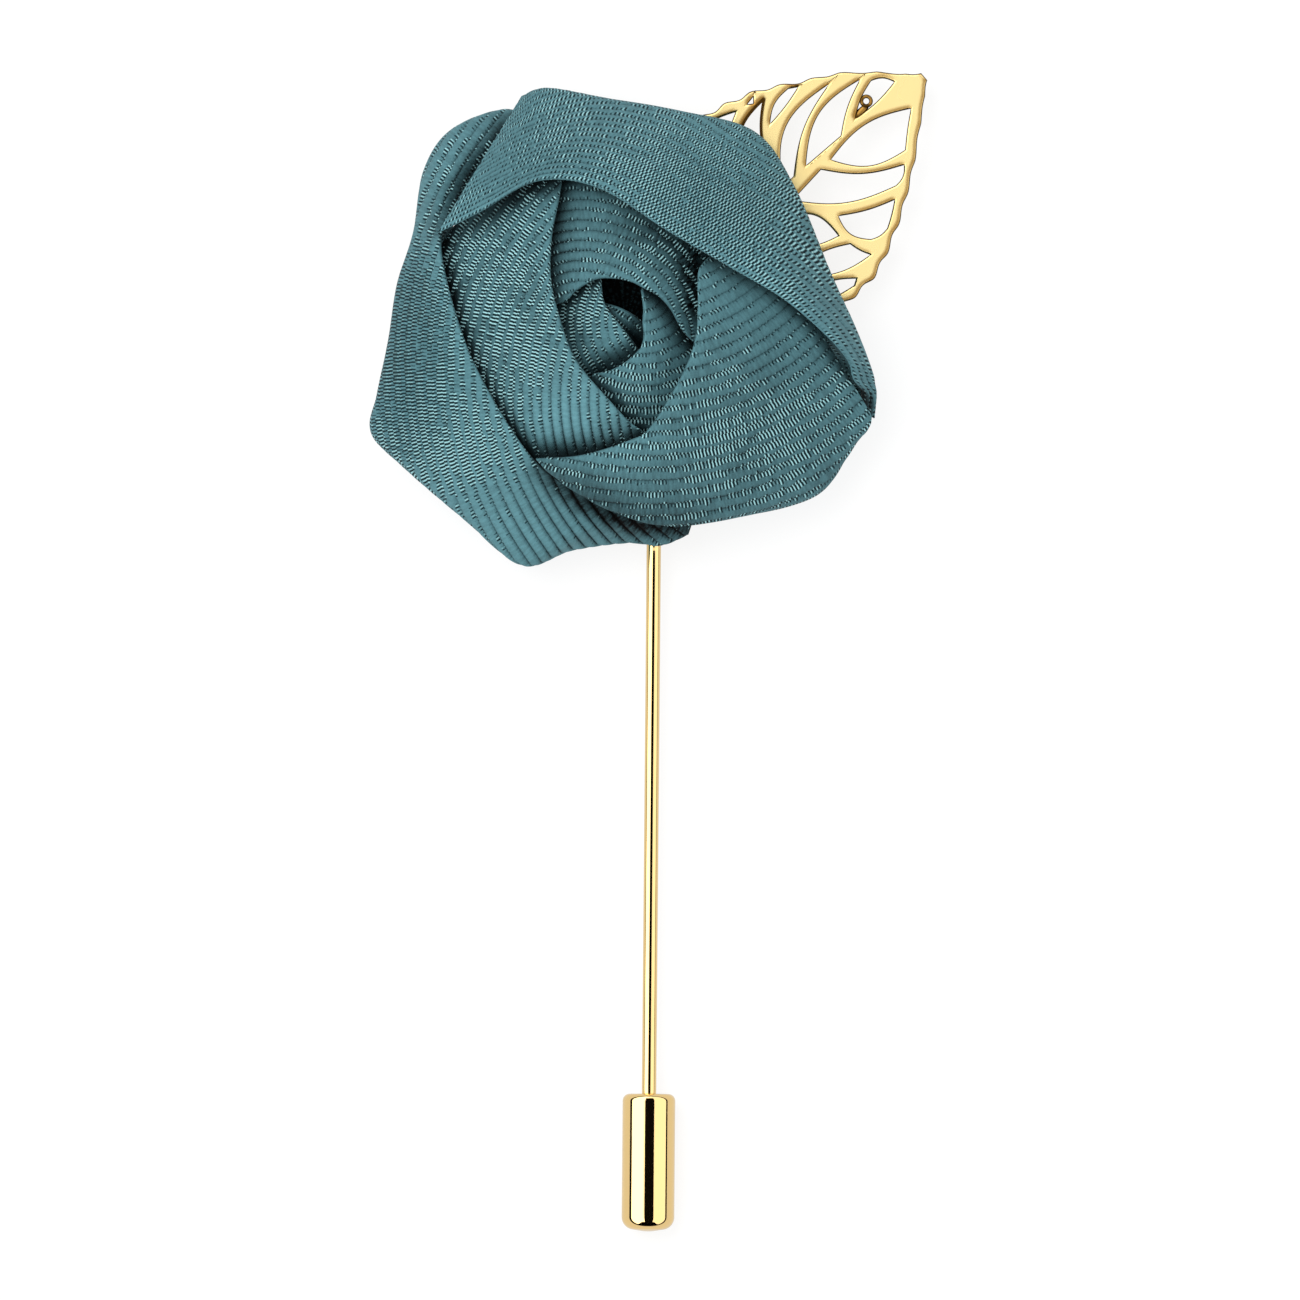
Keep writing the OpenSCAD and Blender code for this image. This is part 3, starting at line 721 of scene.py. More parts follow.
def cloth_level(tree, ribs, count, painted_light, flute, drift, fibre):
    # The level starts from the petal's painted light and shade; painted shade darkens the grooves
    # and the rounded sides of each rib, most where the ribs are flutes.
    far = times(tree, sums(tree, "ABSOLUTE", add(tree, sums(tree, "FRACT", ribs), -0.5)), 2.0)
    streak = noise(tree, spot(tree, times(tree, ribs, 0.7), count), 1.2)
    groove = ramp(tree, far, 0.80, 1.0)
    level = times_add(tree, groove, times_add(tree, flute, -0.22, -0.16), painted_light)
    level = times_add(tree, sums(tree, "POWER", far, 2.5), times_add(tree, flute, -0.42, -0.04),
                      level)
    for cloud, change in ((streak, 0.15), (fibre, 0.08), (drift, 0.05)):
        level = add(tree, level, ramp(tree, cloud, 0.3, 0.7, -change, change))
    # Painted shade where two petals meet: ambient occlusion within a short reach darkens the
    # colour.
    nook = tree.nodes.new("ShaderNodeAmbientOcclusion")
    nook.samples = 6
    nook.inputs["Distance"].default_value = NOOK * MM
    return times(tree, level, ramp(tree, nook.outputs["AO"], 0.40, 0.95, NOOK_SHADE, 1.0))


def cloth_colour(tree, level, light, dark):
    # The teal is scaled by the level, which carries painted light and shade; then the strokes lay
    # painted shade and a painted glint over it.
    painted_shading = tree.nodes.new("ShaderNodeVectorMath")
    painted_shading.operation = "SCALE"
    painted_shading.inputs[0].default_value = TEAL
    tree.links.new(level, painted_shading.inputs["Scale"])
    plain = blend_colours(tree, ramp(tree, dark, 0.02, 0.40, 0.0, 0.98), painted_shading.outputs[0],
                          THREAD_SHADE)
    return blend_colours(tree, ramp(tree, light, 0.15, 0.80), plain, THREAD_GLINT)


def ribbon_cloth(name):
    material, tree, shader = new_material(name)
    ribs, threads, growth = numbers(tree, "weave")
    strong, painted_light, flute = numbers(tree, "strength_light_flute")
    brick, fine, _ = numbers(tree, "brick")
    count = times(tree, threads, times_add(tree, sums(tree, "FLOOR", ribs), growth, 1.0))
    place = spot(tree, ribs, times(tree, count, 0.2))
    drift, ripple = noise(tree, place, 0.35), noise(tree, place, 1.6)
    fibre = noise(tree, place, 9.0, 3.0)
    wavy = times_add(tree, ripple, 0.4, count)
    power = add(tree, strong, add(tree, ramp(tree, drift, 0.3, 0.7, -0.22, 0.22),
                                  ramp(tree, ripple, 0.3, 0.7, -0.35, 0.35)))
    main = strokes(tree, ribs, wavy, power, fine, 0.0)
    between = times(tree, strokes(tree, ribs, wavy, power, fine, 0.5), brick)
    light, dark = light_and_dark(tree, main, between, brick, fine)
    level = cloth_level(tree, ribs, count, painted_light, flute, drift, fibre)
    tree.links.new(cloth_colour(tree, level, light, dark), shader.inputs["Base Color"])
    height = sums(tree, "SUBTRACT", light, dark)
    tree.links.new(ramp(tree, height, -0.5, 0.8, 0.85, 0.5), shader.inputs["Roughness"])
    fine_bump(tree, shader, times_add(tree, fibre, 0.35, height), 0.5, 0.05)
    shader.inputs["Specular IOR Level"].default_value = 0.10
    shader.inputs["Sheen Weight"].default_value = 0.03
    shader.inputs["Sheen Roughness"].default_value = 0.4
    return material


CLOTH = ribbon_cloth("grosgrain")
print("cloth with", len(CLOTH.node_tree.nodes), "nodes")

# %% [markdown]
# With the grid, the weave and the cloth in hand, a petal is made in one call. The grid becomes a
# closed shell of quads with one flat face at each end, and its numbers are stored on its points.
# It takes the place of its solid.

# %% From grid to petal
LEAST_LIGHT = 0.03


def turn_about_z(points, angle):
    c, d = math.cos(angle), math.sin(angle)
    return points @ np.array([[c, d, 0], [-d, c, 0], [0, 0, 1]])


def grid_quads(rows, around, closed=False):
    s, a = np.meshgrid(np.arange(rows if closed else rows - 1), np.arange(around), indexing="ij")
    up, b = (s + 1) % rows, (a + 1) % around
    corners = [s * around + a, s * around + b, up * around + b, up * around + a]
    return np.stack(corners, axis=2).reshape(-1, 4)


def shell(name, points, turned=True):
    stations, around = points.shape[:2]
    quads = grid_quads(stations, around)
    first = np.arange(around)[::-1]
    last = (stations - 1) * around + np.arange(around)
    flat = points.reshape(-1, 3)
    triangles = np.concatenate([quads[:, [0, 1, 2]], quads[:, [0, 2, 3]]])
    a, b, c = flat[triangles].transpose(1, 0, 2)
    faces = quads.tolist() + [first.tolist(), last.tolist()]
    if np.einsum("ij,ij->i", a, np.cross(b, c)).sum() < 0:
        faces = [face[::-1] for face in faces]
    mesh = bpy.data.meshes.new(name)
    place = turn_about_z(flat, ROSE_TURN if turned else 0.0) * MM
    mesh.from_pydata(place.tolist(), [], faces)
    mesh.polygons.foreach_set("use_smooth", [True] * (len(faces) - 2) + [False] * 2)
    return add_object(name, mesh)


def store(piece, name, *values):
    layer = piece.data.attributes.new(name, "FLOAT_VECTOR", "POINT")
    table = np.stack(np.broadcast_arrays(*values), axis=-1)
    layer.data.foreach_set("vector", np.ascontiguousarray(table, dtype=np.float32).ravel())


def petal(name, rows, cell, weave_of, spots, start=0.0, painted_light=1.0, painted_shading=(), flutes=(),
          bricks=(), lines=(), fine=0.3):
    grid = fold_grid(rows, cell)
    weave = weave_of(grid)
    flute = np.clip(patches(grid["points"], flutes, 0.1), 0, 1)
    points = raise_ribs(grid, weave, flute)
    piece = shell(name + "_cloth", points)
    # Painted light and shade: the petal's overall level, a painted highlight on the lip, painted
    # patches of light and shade, and painted shade along crease lines.
    light = painted_light + lip_light(grid) + patches(points, painted_shading, 0.0) + crease_shade(points, lines)
    store(piece, "weave", *weave.transpose(2, 1, 0))
    store(piece, "strength_light_flute", patches(points, spots, start), np.maximum(light, LEAST_LIGHT), flute)
    store(piece, "brick", np.clip(patches(points, bricks, 0.0), 0, 1), fine, 0)
    piece.data.materials.append(CLOTH)
    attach(piece, "pin")
    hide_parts(name)


print("quads in a grid of 3 by 4:", len(grid_quads(3, 4)))

# %% [markdown]
# The top petal lies over the others. Its lip sweeps from the left, over the bud and down to the
# right tip, and its ribs run beside that lip. Its threads are wider apart than on the other
# petals, their strokes with more painted shade than glint, strong in the middle and quiet towards
# both ends. The whole petal is painted a little lighter, with painted shade at its left end and
# painted light in its middle.

# %% Top petal
petal("petal_top", PETAL_TOP, 0.13, lambda g: beside_the_lip(g, 0.60, 0.012),
      spots=[(-13, 31, 5, -0.5), (2, 29, 6, 0.45), (10, 25, 5, 0.3), (16, 18, 5, -0.4),
             (3, 37, 4, -0.3)],
      flutes=[(-14, 28, 4, 0.3)],
      bricks=[(4, 28, 7, 0.4)],
      painted_shading=[(-9, 31.5, 5, -0.22), (7, 26, 9, 0.10)],
      start=0.28, painted_light=1.12, fine=0.7)

# %% [markdown]
# The left petal is the widest. It comes out from under the top one, runs down the left side and
# turns under the rose along the bottom, where its ribs open out like flutes. Painted shade darkens
# it along two crease lines: one beside the top petal and one under the right petal. Its low part
# is painted a little lighter.

# %% Left petal
LEFT_CREASE = [(-17.6, 26.5), (-16, 29.5), (-14.5, 31.8), (-12.6, 34.4)]
UNDER_RIGHT = [(-9.2, 6.6), (-7.7, 5.0), (-6.1, 3.7), (-3.6, 2.3), (-1.1, 1.6), (2.4, 1.4)]
petal("petal_left", PETAL_LEFT, 0.14, lambda g: round_a_centre(g, (12, 15), 0.9),
      spots=[(-20, 20, 6, 0.35), (-21, 12, 5, 0.55), (-16, 7, 4, 0.75), (-9, 0, 6, -0.8),
             (-2, 2, 4, -0.5)],
      flutes=[(-10, 1, 5, 0.9), (-3, 1, 4, 0.8), (-15, 30, 4, 0.3)],
      bricks=[(-21, 17, 4, 1.0), (-21, 22, 4, 0.8), (-21, 11, 4, 0.7)],
      painted_shading=[(-17, 5, 5, 0.22), (-9, 0, 5, 0.16), (-13, 3, 5, 0.12)],
      lines=[(1.3, -0.75, LEFT_CREASE), (1.1, -0.95, UNDER_RIGHT)],
      start=0.05, painted_light=1.06)

# %% [markdown]
# The right petal starts as a thin edge at the left, passes in front of the bud and opens out to
# the lower right.

# %% Right petal
# Painted shade along its lower left edge and over its lower middle, and a little painted light
# near the top petal's lip.
BESIDE_LEFT = [(-8.5, 6.3), (-6.1, 4.4), (-3.4, 2.9), (-0.8, 2.0), (2.6, 1.9)]
petal("petal_right", PETAL_RIGHT, 0.14, lambda g: round_a_centre(g, (-0.5, 32.3), 1.0),
      spots=[(9, 11, 5, 0.5), (4, 7, 4, 0.4), (14, 10, 4, 0.3), (10, 20, 6, -0.5)],
      flutes=[(7, 10, 12, 0.35)],
      painted_shading=[(6.5, 22, 3, 0.1), (6, 10, 5, -0.16), (10, 7, 5, -0.12)],
      lines=[(1.8, -0.5, BESIDE_LEFT)],
      start=0.05, painted_light=0.98)

# %% [markdown]
# Inside them, one petal stands on the left of the bud and one behind it. The one behind runs into
# a deep corner beside the right petal, so its right end is painted in shade. The left one is
# painted lighter on its low part and a little darker higher up.

# %% Inner petals
petal("petal_inner_left", PETAL_INNER_LEFT, 0.13, lambda g: round_a_centre(g, (9, 12), 0.80),
      spots=[(-13, 24, 5, 0.45), (-12, 16, 5, 0.55), (-7, 10, 4, -0.5)],
      flutes=[(-7, 9.5, 4, 0.9), (-3, 8, 3, 0.6)],
      painted_shading=[(-7.5, 10, 4, 0.68), (-12, 21, 6, -0.18)],
      start=0.1, painted_light=0.94)
petal("petal_inner_top", PETAL_INNER_TOP, 0.13, lambda g: round_a_centre(g, (-6, 16), 0.85),
      spots=[(0, 26, 3, 0.3), (-7, 26, 4, -0.4)],
      flutes=[(-8, 25, 3, 0.7)],
      painted_shading=[(3.2, 24.5, 2.4, -0.75), (4.2, 21, 1.6, -0.6), (1.2, 27.6, 2.0, -0.6),
              (-1.5, 26.5, 2.5, -0.3), (3.3, 19.8, 1.2, -0.7), (3.5, 22.4, 1.4, -0.5)],
      start=0.1, painted_light=0.93)

# %% [markdown]
# The bud's folds are small, so their cells are smaller too. Its core is a tongue of ribbon,
# painted lit in its middle and painted in shade at both ends. The left fold is painted in shade at
# its far left and lighter lower down, and the right fold is painted lighter at its upper right.

# %% Bud
petal("bud_left", BUD_LEFT, 0.11, lambda g: round_a_centre(g, (0.5, 18.5), 0.73),
      spots=[(-5.3, 19.3, 1.6, 0.3), (-3.4, 16.5, 1.8, -0.4)],
      painted_shading=[(-7.2, 18.5, 1.2, -0.5), (-3.4, 16.8, 1.7, 0.55)],
      start=0.35, painted_light=0.86)
petal("bud_right", BUD_RIGHT, 0.11, lambda g: round_a_centre(g, (-0.9, 21.4), 0.92),
      spots=[(0, 11, 3, 0.3), (1.4, 19.3, 2.2, -0.9)],
      flutes=[(0, 11, 4, 0.3)],
      painted_shading=[(1.9, 19.3, 1.8, 1.0)],
      start=0.2, painted_light=0.98)
petal("bud_core", BUD_CORE, 0.11, lambda g: round_a_centre(g, (-7.6, 11.9), 0.8),
      spots=[(-2.8, 21.4, 1.5, -1.2), (-1.3, 16.9, 1.1, -1.2)],
      painted_shading=[(-2.8, 21.6, 1.5, -0.97), (-1.3, 16.9, 1.0, -0.85), (-2.9, 18.7, 0.9, 1.5)],
      start=0.25, painted_light=1.0)

# %% [markdown]
# Behind the petals the end of the ribbon is gathered into a low dish and stitched to the folds. It
# hardly shows. A revolved section would look like a washer, so each point round it is moved up and
# out a little in small pleats, with the ribbon's own ribs running out from the middle. The middle
# is the bottom of the bud's hole, where hardly any light comes, so it is painted nearly black as
# shade and its thread strokes are quieted.

# %% Gathered back
HEART = (-2.4, 18.0)
# columns: distance from the middle, height over the table
BACK_SECTION = np.array([
    [0.4, 3.99], [10.3, 3.99], [11.0, 4.2], [11.36, 4.66], [11.3, 5.1], [11.0, 5.55],
    [10.0, 5.95], [6.4, 6.0], [5.6, 6.5], [0.4, 6.55]])
PLEATS, PLEAT_THREAD = 44, 0.31


def all_round(sides):
    return np.linspace(0, 2 * math.pi, sides + 1)[:-1]


def gathered_back():
    line = curve(BACK_SECTION, even_places(BACK_SECTION, 0.3))
    angle = np.append(all_round(360), 0.0)[:, None]
    lift = np.cos(PLEATS * angle) * np.clip((line[:, 0] - 2.5) / 8, 0, 1)
    r = line[:, 0] * (1 - 0.006 * (1 - np.cos(PLEATS * angle)))
    middle = BACK_SECTION[:, 1].mean()
    z = middle + (line[:, 1] - middle) * (1 - 0.10 * np.abs(lift))
    points = np.stack([HEART[0] + r * np.cos(angle), HEART[1] + r * np.sin(angle), z + TABLE],
                      axis=2)
    piece = shell("rose_back", points)
    rib = np.linspace(0, PLEATS, len(angle))[:, None]
    # Painted shade: the middle of the back, at the bottom of the bud's hole, is painted nearly
    # black and its strokes are quieted.
    deep = np.clip((z - 6.0) / 0.5, 0, 1)
    store(piece, "weave", rib, line[:, 0] / PLEAT_THREAD, 0)
    store(piece, "strength_light_flute", 0.1 - deep, 0.9 - 0.86 * deep, 0.5)
    store(piece, "brick", 0 * z, 0, 0)
    piece.data.materials.append(CLOTH)
    return piece


back = gathered_back()
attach(back, "pin")
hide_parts("rose_base")

# %% [markdown]
# The leaf is stamped from brass plate, pierced between its veins and plated. It is flat, so a
# filled 2D curve is the natural tool: one closed spline for the scalloped outline and one for each
# opening, which Blender cuts out itself. Its bevel rounds every edge, and the rounded edges show
# the thin brown line of a stamped leaf, partly by what they mirror and partly as painted
# reflection and shade in the leaf's gold.

# %% Leaf tables
ROOT = (0.4, 20.1)
LEAF_LONG, LEAF_THICK, LEAF_LEAN = 29.2, 0.7, math.radians(40.6)
SCALLOP, SCALLOP_LONG, SCALLOP_START = 0.15, 2.3, math.radians(155)
# columns: distance from the root, width on the left, width on the right
LEAF_WIDTHS = np.array([
    [0, 1.0, 1.0], [3, 4.6, 4.6], [7, 8.1, 8.2], [11, 9.7, 9.9], [15, 9.05, 9.95],
    [18, 8.1, 8.75], [21, 6.45, 7.0], [24, 4.85, 4.85], [26.5, 2.85, 2.75],
    [28.2, 1.2, 1.3], [29.2, 0.4, 0.4]])
# columns: x and y of each corner in turn, then the bow of each side in turn
OPENINGS = [
    [22.6, 1.1, 25.6, 2.6, 27.0, 1.3, 0.2, 0.25, 0.2],
    [16.9, 0.8, 24.9, 3.3, 20.7, 0.8, 1.35, -0.25, 0],
    [14.3, 0.7, 22.7, 4.7, 15.5, 0.8, 1.8, -0.65, 0],
    [16.9, 5.4, 19.9, 6.6, 20.6, 6.2, 0.4, 0, 0.1],
    [12.4, 3.6, 18.1, 7.4, 14.6, 3.0, 1.3, -0.4, 0.1],
    [16.5, 7.85, 17.25, 8.0, 16.9, 7.6, 0, 0, 0],
    [12.6, 8.8, 15.3, 8.0, 14.0, 7.3, 0.1, 0, 0],
    [11.2, 0.8, 12.8, 7.2, 13.2, 0.8, 1.2, -0.4, 0],
    [8.2, 0.8, 10.2, 6.6, 10.1, 0.8, 0.9, -0.3, 0],
    [5.0, 0.8, 7.2, 5.2, 7.0, 0.8, 0.6, -0.2, 0],
    [18.8, -0.2, 26.6, -1.3, 24.0, -3.6, 0.9, -0.05, 0.9],
    [14.2, -0.7, 17.6, -0.3, 23.1, -4.5, 21.5, -5.35, 0, -0.55, 0.25, 0.8],
    [16.2, -4.2, 20.6, -6.2, 18.6, -7.6, 17.0, -7.4, -0.2, 0.05, 0.15, 0.6],
    [12.4, -1.4, 15.1, -5.4, 12.2, -4.2, 1.1, 0.15, 0.3],
    [11.4, -5.3, 15.4, -6.6, 16.1, -8.35, 11.4, -6.7, 0.25, -0.1, 0.4, 0.1],
    [10.6, -7.4, 13.9, -9.1, 13.4, -9.4, 10.6, -8.7, 0.25, 0, 0.1, 0],
    [8.6, -0.8, 10.9, -0.9, 10.4, -6.0, 0, -0.2, 0.8],
    [5.4, -0.8, 7.5, -0.8, 8.2, -5.6, 0, -0.2, 0.7]]
print(len(OPENINGS), "openings")

# %% [markdown]
# The outline's scallops are a small wave on the half width, as on the solid. The openings have
# three or four corners, and their sides are bowed.

# %% Leaf outline and openings
def leaf_rim(side):
    x = np.linspace(0, LEAF_LONG, 289)
    i = np.clip(np.searchsorted(LEAF_WIDTHS[:, 0], x, side="right") - 1, 0, len(LEAF_WIDTHS) - 2)
    t = (x - LEAF_WIDTHS[i, 0]) / (LEAF_WIDTHS[i + 1, 0] - LEAF_WIDTHS[i, 0])
    half = curve(LEAF_WIDTHS[:, 1 if side > 0 else 2], i + np.minimum(t, 0.9999))
    wave = np.cos(2 * math.pi * x / SCALLOP_LONG + SCALLOP_START)
    half = half + SCALLOP * np.sin(math.pi * x / LEAF_LONG) * wave
    return np.stack([x, side * half], axis=1)


def bowed(a, b, bow):
    t = np.linspace(0, 1, 25)[:-1, None]
    left = np.array([a[1] - b[1], b[0] - a[0]]) / np.linalg.norm(b - a)
    return a + (b - a) * t + left * bow * np.sin(math.pi * t)


def opening(row):
    n = len(row) // 3
    corners = np.array(row[:2 * n]).reshape(n, 2)
    return np.concatenate([bowed(corners[k], corners[(k + 1) % n], row[2 * n + k])
                           for k in range(n)])


outline = np.concatenate([leaf_rim(1), leaf_rim(-1)[::-1]])
print("leaf", round(float(np.ptp(outline[:, 1])), 1), "mm wide")

# %% [markdown]
# The bevel grows outwards, so the outline is first drawn in by as much. Then the curve is turned
# into a mesh, so that the next cells can add to it.

# %% Leaf
LEAF_Z = 3.1
EDGE = 0.2


def leaf_plate():
    data = bpy.data.curves.new("leaf_curve", "CURVE")
    data.dimensions = "2D"
    data.fill_mode = "BOTH"
    for loop in [outline] + [opening(row) for row in OPENINGS]:
        spline = data.splines.new("POLY")
        spline.points.add(len(loop) - 1)
        ones = np.ones((len(loop), 1))
        spline.points.foreach_set("co", np.hstack([loop * MM, 0 * ones, ones]).ravel())
        spline.use_cyclic_u = True
    data.extrude = (LEAF_THICK / 2 - EDGE) * MM
    data.bevel_depth = EDGE * MM
    data.bevel_resolution = 4
    data.offset = -EDGE * MM
    holder = add_object("leaf_curve", data)
    bpy.context.view_layer.update()
    mesh = bpy.data.meshes.new_from_object(holder)
    bpy.data.objects.remove(holder)
    return mesh


plate = leaf_plate()
print("leaf plate,", len(plate.polygons), "faces")

# %% [markdown]
# Plated metal is almost all reflection, so its colour is set by what it mirrors. What makes it
# look real is the small unevenness: a tone that is darker here and there and a polish that is
# softer in places. The stamped leaf also gets browner edges, which are painted reflection and
# shade: a brown band on the edges that face right and down, and a thin painted dark line at the
# outermost edge and on the steep walls. Ambient occlusion inside the metal finds the edges: it is
# one far from an edge and less beside it. A tilted normal picks the edges that face away from the
# tilt.

# %% Gold plate
SIDE_REACH, RIM_REACH = 0.5, 0.22
SIDE_TILT, NO_TILT = (-0.9, 0.9, 0.0), (0.0, 0.0, 0.0)


def near_the_edge(tree, normal, reach, tilt):
    tilted = tree.nodes.new("ShaderNodeVectorMath")
    tilted.operation = "ADD"
    tree.links.new(normal, tilted.inputs[0])
    tilted.inputs[1].default_value = tilt
    node = tree.nodes.new("ShaderNodeAmbientOcclusion")
    node.inside = True
    node.samples = 8
    node.inputs["Distance"].default_value = reach * MM
    tree.links.new(tilted.outputs[0], node.inputs["Normal"])
    return node.outputs["AO"]


def painted_edge_shade(tree, colour, deeper_tone_and_shade, dark):
    # Painted reflection and shade: a brown band on edges facing right and down, and a painted dark
    # line at the rim and on steep walls.
    normal = tree.nodes.new("ShaderNodeNewGeometry").outputs["Normal"]
    side = near_the_edge(tree, normal, SIDE_REACH, SIDE_TILT)
    banded = blend_colours(tree, ramp(tree, side, 0.90, 0.55), colour, deeper_tone_and_shade)
    rim = ramp(tree, near_the_edge(tree, normal, RIM_REACH, NO_TILT), 0.85, 0.60)
    wall = ramp(tree, sums(tree, "ABSOLUTE", split(tree, normal)[2]), 0.93, 0.65)
    return blend_colours(tree, sums(tree, "MAXIMUM", rim, wall), banded, dark)


def gold_plate(name, colour, deeper_tone_and_shade, polish, uneven, dark=None):
    material, tree, shader = new_material(name)
    shader.inputs["Metallic"].default_value = 1.0
    place = tree.nodes.new("ShaderNodeTexCoord").outputs["Object"]
    cloud = noise(tree, place, 170.0, 3.0)
    gold = blend_colours(tree, ramp(tree, cloud, 0.40, 0.72, 0.0, 0.16), colour, deeper_tone_and_shade)
    # The leaf's edges get painted reflection and shade.
    if dark:
        gold = painted_edge_shade(tree, gold, deeper_tone_and_shade, dark)
    tree.links.new(gold, shader.inputs["Base Color"])
    tree.links.new(ramp(tree, cloud, 0.3, 0.7, polish, polish + uneven),
                   shader.inputs["Roughness"])
    fine_bump(tree, shader, noise(tree, place, 1500.0, 3.0), 0.12, 0.02)
    return material


# Leaf: its gold, a darker colour used both for random tone and for the painted brown edge band,
# and the painted dark edge line.
LEAF_GOLD = gold_plate("leaf_gold", (0.92, 0.73, 0.33, 1), (0.30, 0.16, 0.035, 1), 0.22, 0.10,
                       dark=(0.055, 0.026, 0.004, 1))
PIN_GOLD = gold_plate("pin_gold", (0.92, 0.66, 0.29, 1), (0.86, 0.58, 0.22, 1), 0.035, 0.03)
print("two golds")

# %% [markdown]
# The maker's eyelet is a small ring of wire in the opening by the tip, held by a bead of solder.
# Both are joined to the plate's mesh. Then the leaf is moved from its own axes, with the midrib
# along X, to its place behind the rose. Its flat faces stay flat-shaded, and the rounded edges are
# smooth.

# %% Leaf in place
EYELET, RING_R, WIRE_R, RING_LIFT = (24.2, 1.6), 0.40, 0.16, 0.05
SOLDER, BEAD_SIZE, BEAD_LEAN = (23.3, 1.2), (0.85, 0.34, 0.22), 0.09


def wire_ring(sides=24, around=12):
    a, b = all_round(sides)[:, None], all_round(around)
    r = RING_R + WIRE_R * np.cos(b)
    points = np.stack([EYELET[0] + r * np.cos(a), EYELET[1] + r * np.sin(a),
                       RING_LIFT + WIRE_R * np.sin(b) + 0 * a], axis=2)
    return points.reshape(-1, 3), grid_quads(sides, around, closed=True).tolist()


def solder_bead(rings=9, around=20):
    t, a = np.linspace(0.02, math.pi - 0.02, rings)[:, None], all_round(around)
    unit = np.stack([np.sin(t) * np.cos(a), np.sin(t) * np.sin(a), np.cos(t) + 0 * a], axis=2)
    points = turn_about_z(unit.reshape(-1, 3) * BEAD_SIZE, BEAD_LEAN) + (*SOLDER, 0)
    first, last = list(range(around)), [rings * around - 1 - k for k in range(around)]
    return points, grid_quads(rings, around).tolist() + [first, last]


def leaf_in_place(plate):
    flat = np.empty(len(plate.vertices) * 3)
    plate.vertices.foreach_get("co", flat)
    points = flat.reshape(-1, 3) / MM
    faces = [list(face.vertices) for face in plate.polygons]
    for more, more_faces in (wire_ring(), solder_bead()):
        faces += [[len(points) + k for k in face] for face in more_faces]
        points = np.concatenate([points, more])
    level = LEAF_Z + LEAF_THICK / 2 + TABLE
    points = turn_about_z(turn_about_z(points, LEAF_LEAN) + (*ROOT, level), ROSE_TURN)
    mesh = bpy.data.meshes.new("leaf_pierced")
    mesh.from_pydata((points * MM).tolist(), [], faces)
    edit = bmesh.new()
    edit.from_mesh(mesh)
    bmesh.ops.remove_doubles(edit, verts=edit.verts, dist=0.001 * MM)
    bmesh.ops.recalc_face_normals(edit, faces=edit.faces)
    edit.to_mesh(mesh)
    edit.free()
    for face in mesh.polygons:
        face.use_smooth = abs(face.normal.z) < 0.999
    return add_object("leaf_pierced", mesh)


leaf_piece = leaf_in_place(plate)
leaf_piece.data.materials.append(LEAF_GOLD)
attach(leaf_piece, "pin")
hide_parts("leaf")
print("leaf with eyelet,", len(leaf_piece.data.polygons), "faces")

# %% [markdown]
# The shaft is drawn wire. Below the rose it is round and ends in a long point inside the cap.
# Behind the rose it is hammered flat and soldered to a round pad. A lathe alone can't do the flat
# part, so the section changes along the shaft: a circle that turns into a rounded rectangle.

# %% Shaft
WIRE, FLAT_WIDE, FLAT_HIGH, SQUARE = 0.6, 0.7, 0.45, 4.5
# columns: place along the shaft, half width, half height, squareness (2 is round)
POINT = [(-53.5, 0.08, 0.08, 2.0), (-53.0, 0.13, 0.13, 2.0), (-50.0, 0.32, 0.32, 2.0),
         (-46.6, 0.54, 0.54, 2.0), (-45.9, 0.585, 0.585, 2.0), (-45.4, WIRE, WIRE, 2.0)]
HAMMERED = [(0.2, WIRE, WIRE, 2.0), (0.6, 0.63, 0.55, 2.6), (1.2, 0.68, 0.48, 3.6),
            (1.8, FLAT_WIDE, FLAT_HIGH, SQUARE)]
END = [(16.8, 0.66, 0.44, 4.0), (17.0, 0.6, 0.4, 3.5)]
# columns: distance from the axis, height
PAD = np.array([[0.05, 0.2], [5.85, 0.2], [5.94, 0.23], [5.99, 0.32], [6.0, 0.5], [5.99, 0.68],
                [5.94, 0.77], [5.85, 0.8], [1.4, 0.8], [0.05, 0.8]])
PAD_CENTRE = (0.0, 17.0)


def shaft_points():
    a = all_round(64)
    c, d = np.cos(a), np.sin(a)
    stations = POINT + [(y, WIRE, WIRE, 2.0) for y in np.linspace(-44.5, -0.5, 45)]
    stations += HAMMERED + [(y, FLAT_WIDE, FLAT_HIGH, SQUARE) for y in np.linspace(3, 16, 14)]
    return np.array([np.stack([wide * np.sign(c) * np.abs(c) ** (2 / square), 0 * a + y,
                               high * np.sign(d) * np.abs(d) ** (2 / square)], axis=1)
                     for y, wide, high, square in stations + END])


def turned(name, profile, centre, axis):
    a = all_round(96)
    r, h = profile[:, 0:1], profile[:, 1:2] + 0 * a
    one, other = centre[0] + r * np.cos(a), centre[1] + r * np.sin(a)
    points = np.stack([one, other, h] if axis == "z" else [one, h, other], axis=2)
    return shell(name, points, turned=False)


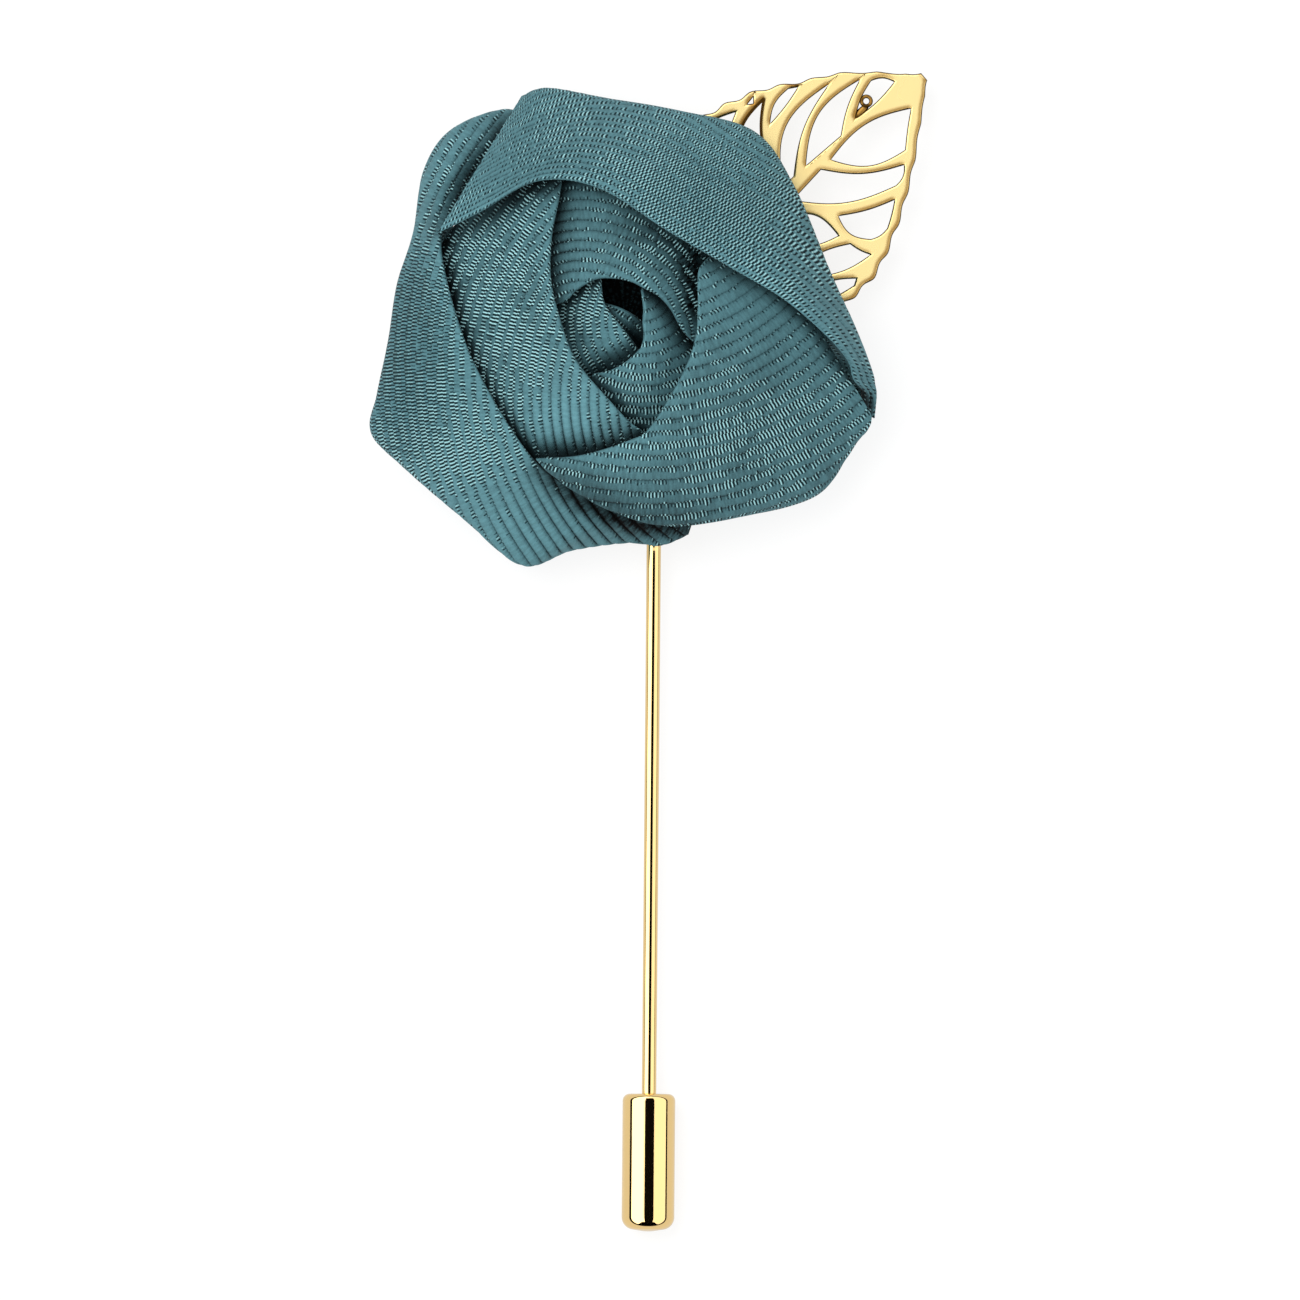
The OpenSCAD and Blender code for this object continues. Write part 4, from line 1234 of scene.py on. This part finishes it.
shaft = shell("pin_shaft", shaft_points(), turned=False)
pad = turned("solder_pad", PAD, PAD_CENTRE, "z")
for piece in (shaft, pad):
    piece.data.materials.append(PIN_GOLD)
    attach(piece, "pin")
    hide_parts("stick_pin")
print("shaft and pad,", len(shaft.data.polygons) + len(pad.data.polygons), "faces")

# %% [markdown]
# The cap is a turned barrel with a blind bore. One profile runs from the bottom of the bore, up
# its wall, round the mouth and down the outside, and is turned about the shaft's axis. Both
# shoulders are small arcs, which mirror the light ellipse at its top and the dark crescent at its
# foot.

# %% Cap
MOUTH, CAP_LONG, CAP_R, BORE_R, BORE_DEEP = -45.8, 11.5, 2.2, 0.65, 8.5
LIP_R, SHOULDER_R, FOOT_R, FOOT_DROP = 0.08, 0.6, 1.05, 1.2


def arc(x, y, radius, start, end, steps):
    a = np.radians(np.linspace(start, end, steps))
    return [(x + radius * math.cos(k), y + radius * math.sin(k)) for k in a]


def cap_profile():
    floor, foot = MOUTH - BORE_DEEP, MOUTH - CAP_LONG
    bore = [(0.02, floor), (0.5, floor), (BORE_R, floor + 0.15)]
    bore += [(BORE_R, MOUTH - k) for k in (6.0, 3.0, 1.0, 0.2)]
    lip = arc(BORE_R + LIP_R, MOUTH - LIP_R, LIP_R, 180, 90, 5)
    shoulder = arc(CAP_R - SHOULDER_R, MOUTH - SHOULDER_R, SHOULDER_R, 90, 0, 13)
    wall = [(CAP_R, MOUTH - k) for k in (1.5, 3.0, 5.0, 7.0, 9.0)]
    low = arc(CAP_R - FOOT_R, foot + FOOT_DROP, FOOT_R, 0, -84, 15)
    end = [(0.8, foot + 0.08), (0.4, foot + 0.02), (0.02, foot)]
    return np.array(bore + lip + shoulder + wall + low + end)


cap = turned("barrel_cap", cap_profile(), (0.0, 0.0), "y")
cap.data.materials.append(PIN_GOLD)
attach(cap, "cap")
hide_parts("pin_cap")
print("cap,", len(cap.data.polygons), "faces")

# %% [markdown]
# Blender only dresses the solid model, so the last cell prints the box of the solid beside the
# box of the dressed model.

# %% Sizes
visual_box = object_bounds()
for word, box in (("solid", cad_box), ("dressed", visual_box)):
    print(word, [[round(v / MM, 2) for v in corner] for corner in box])
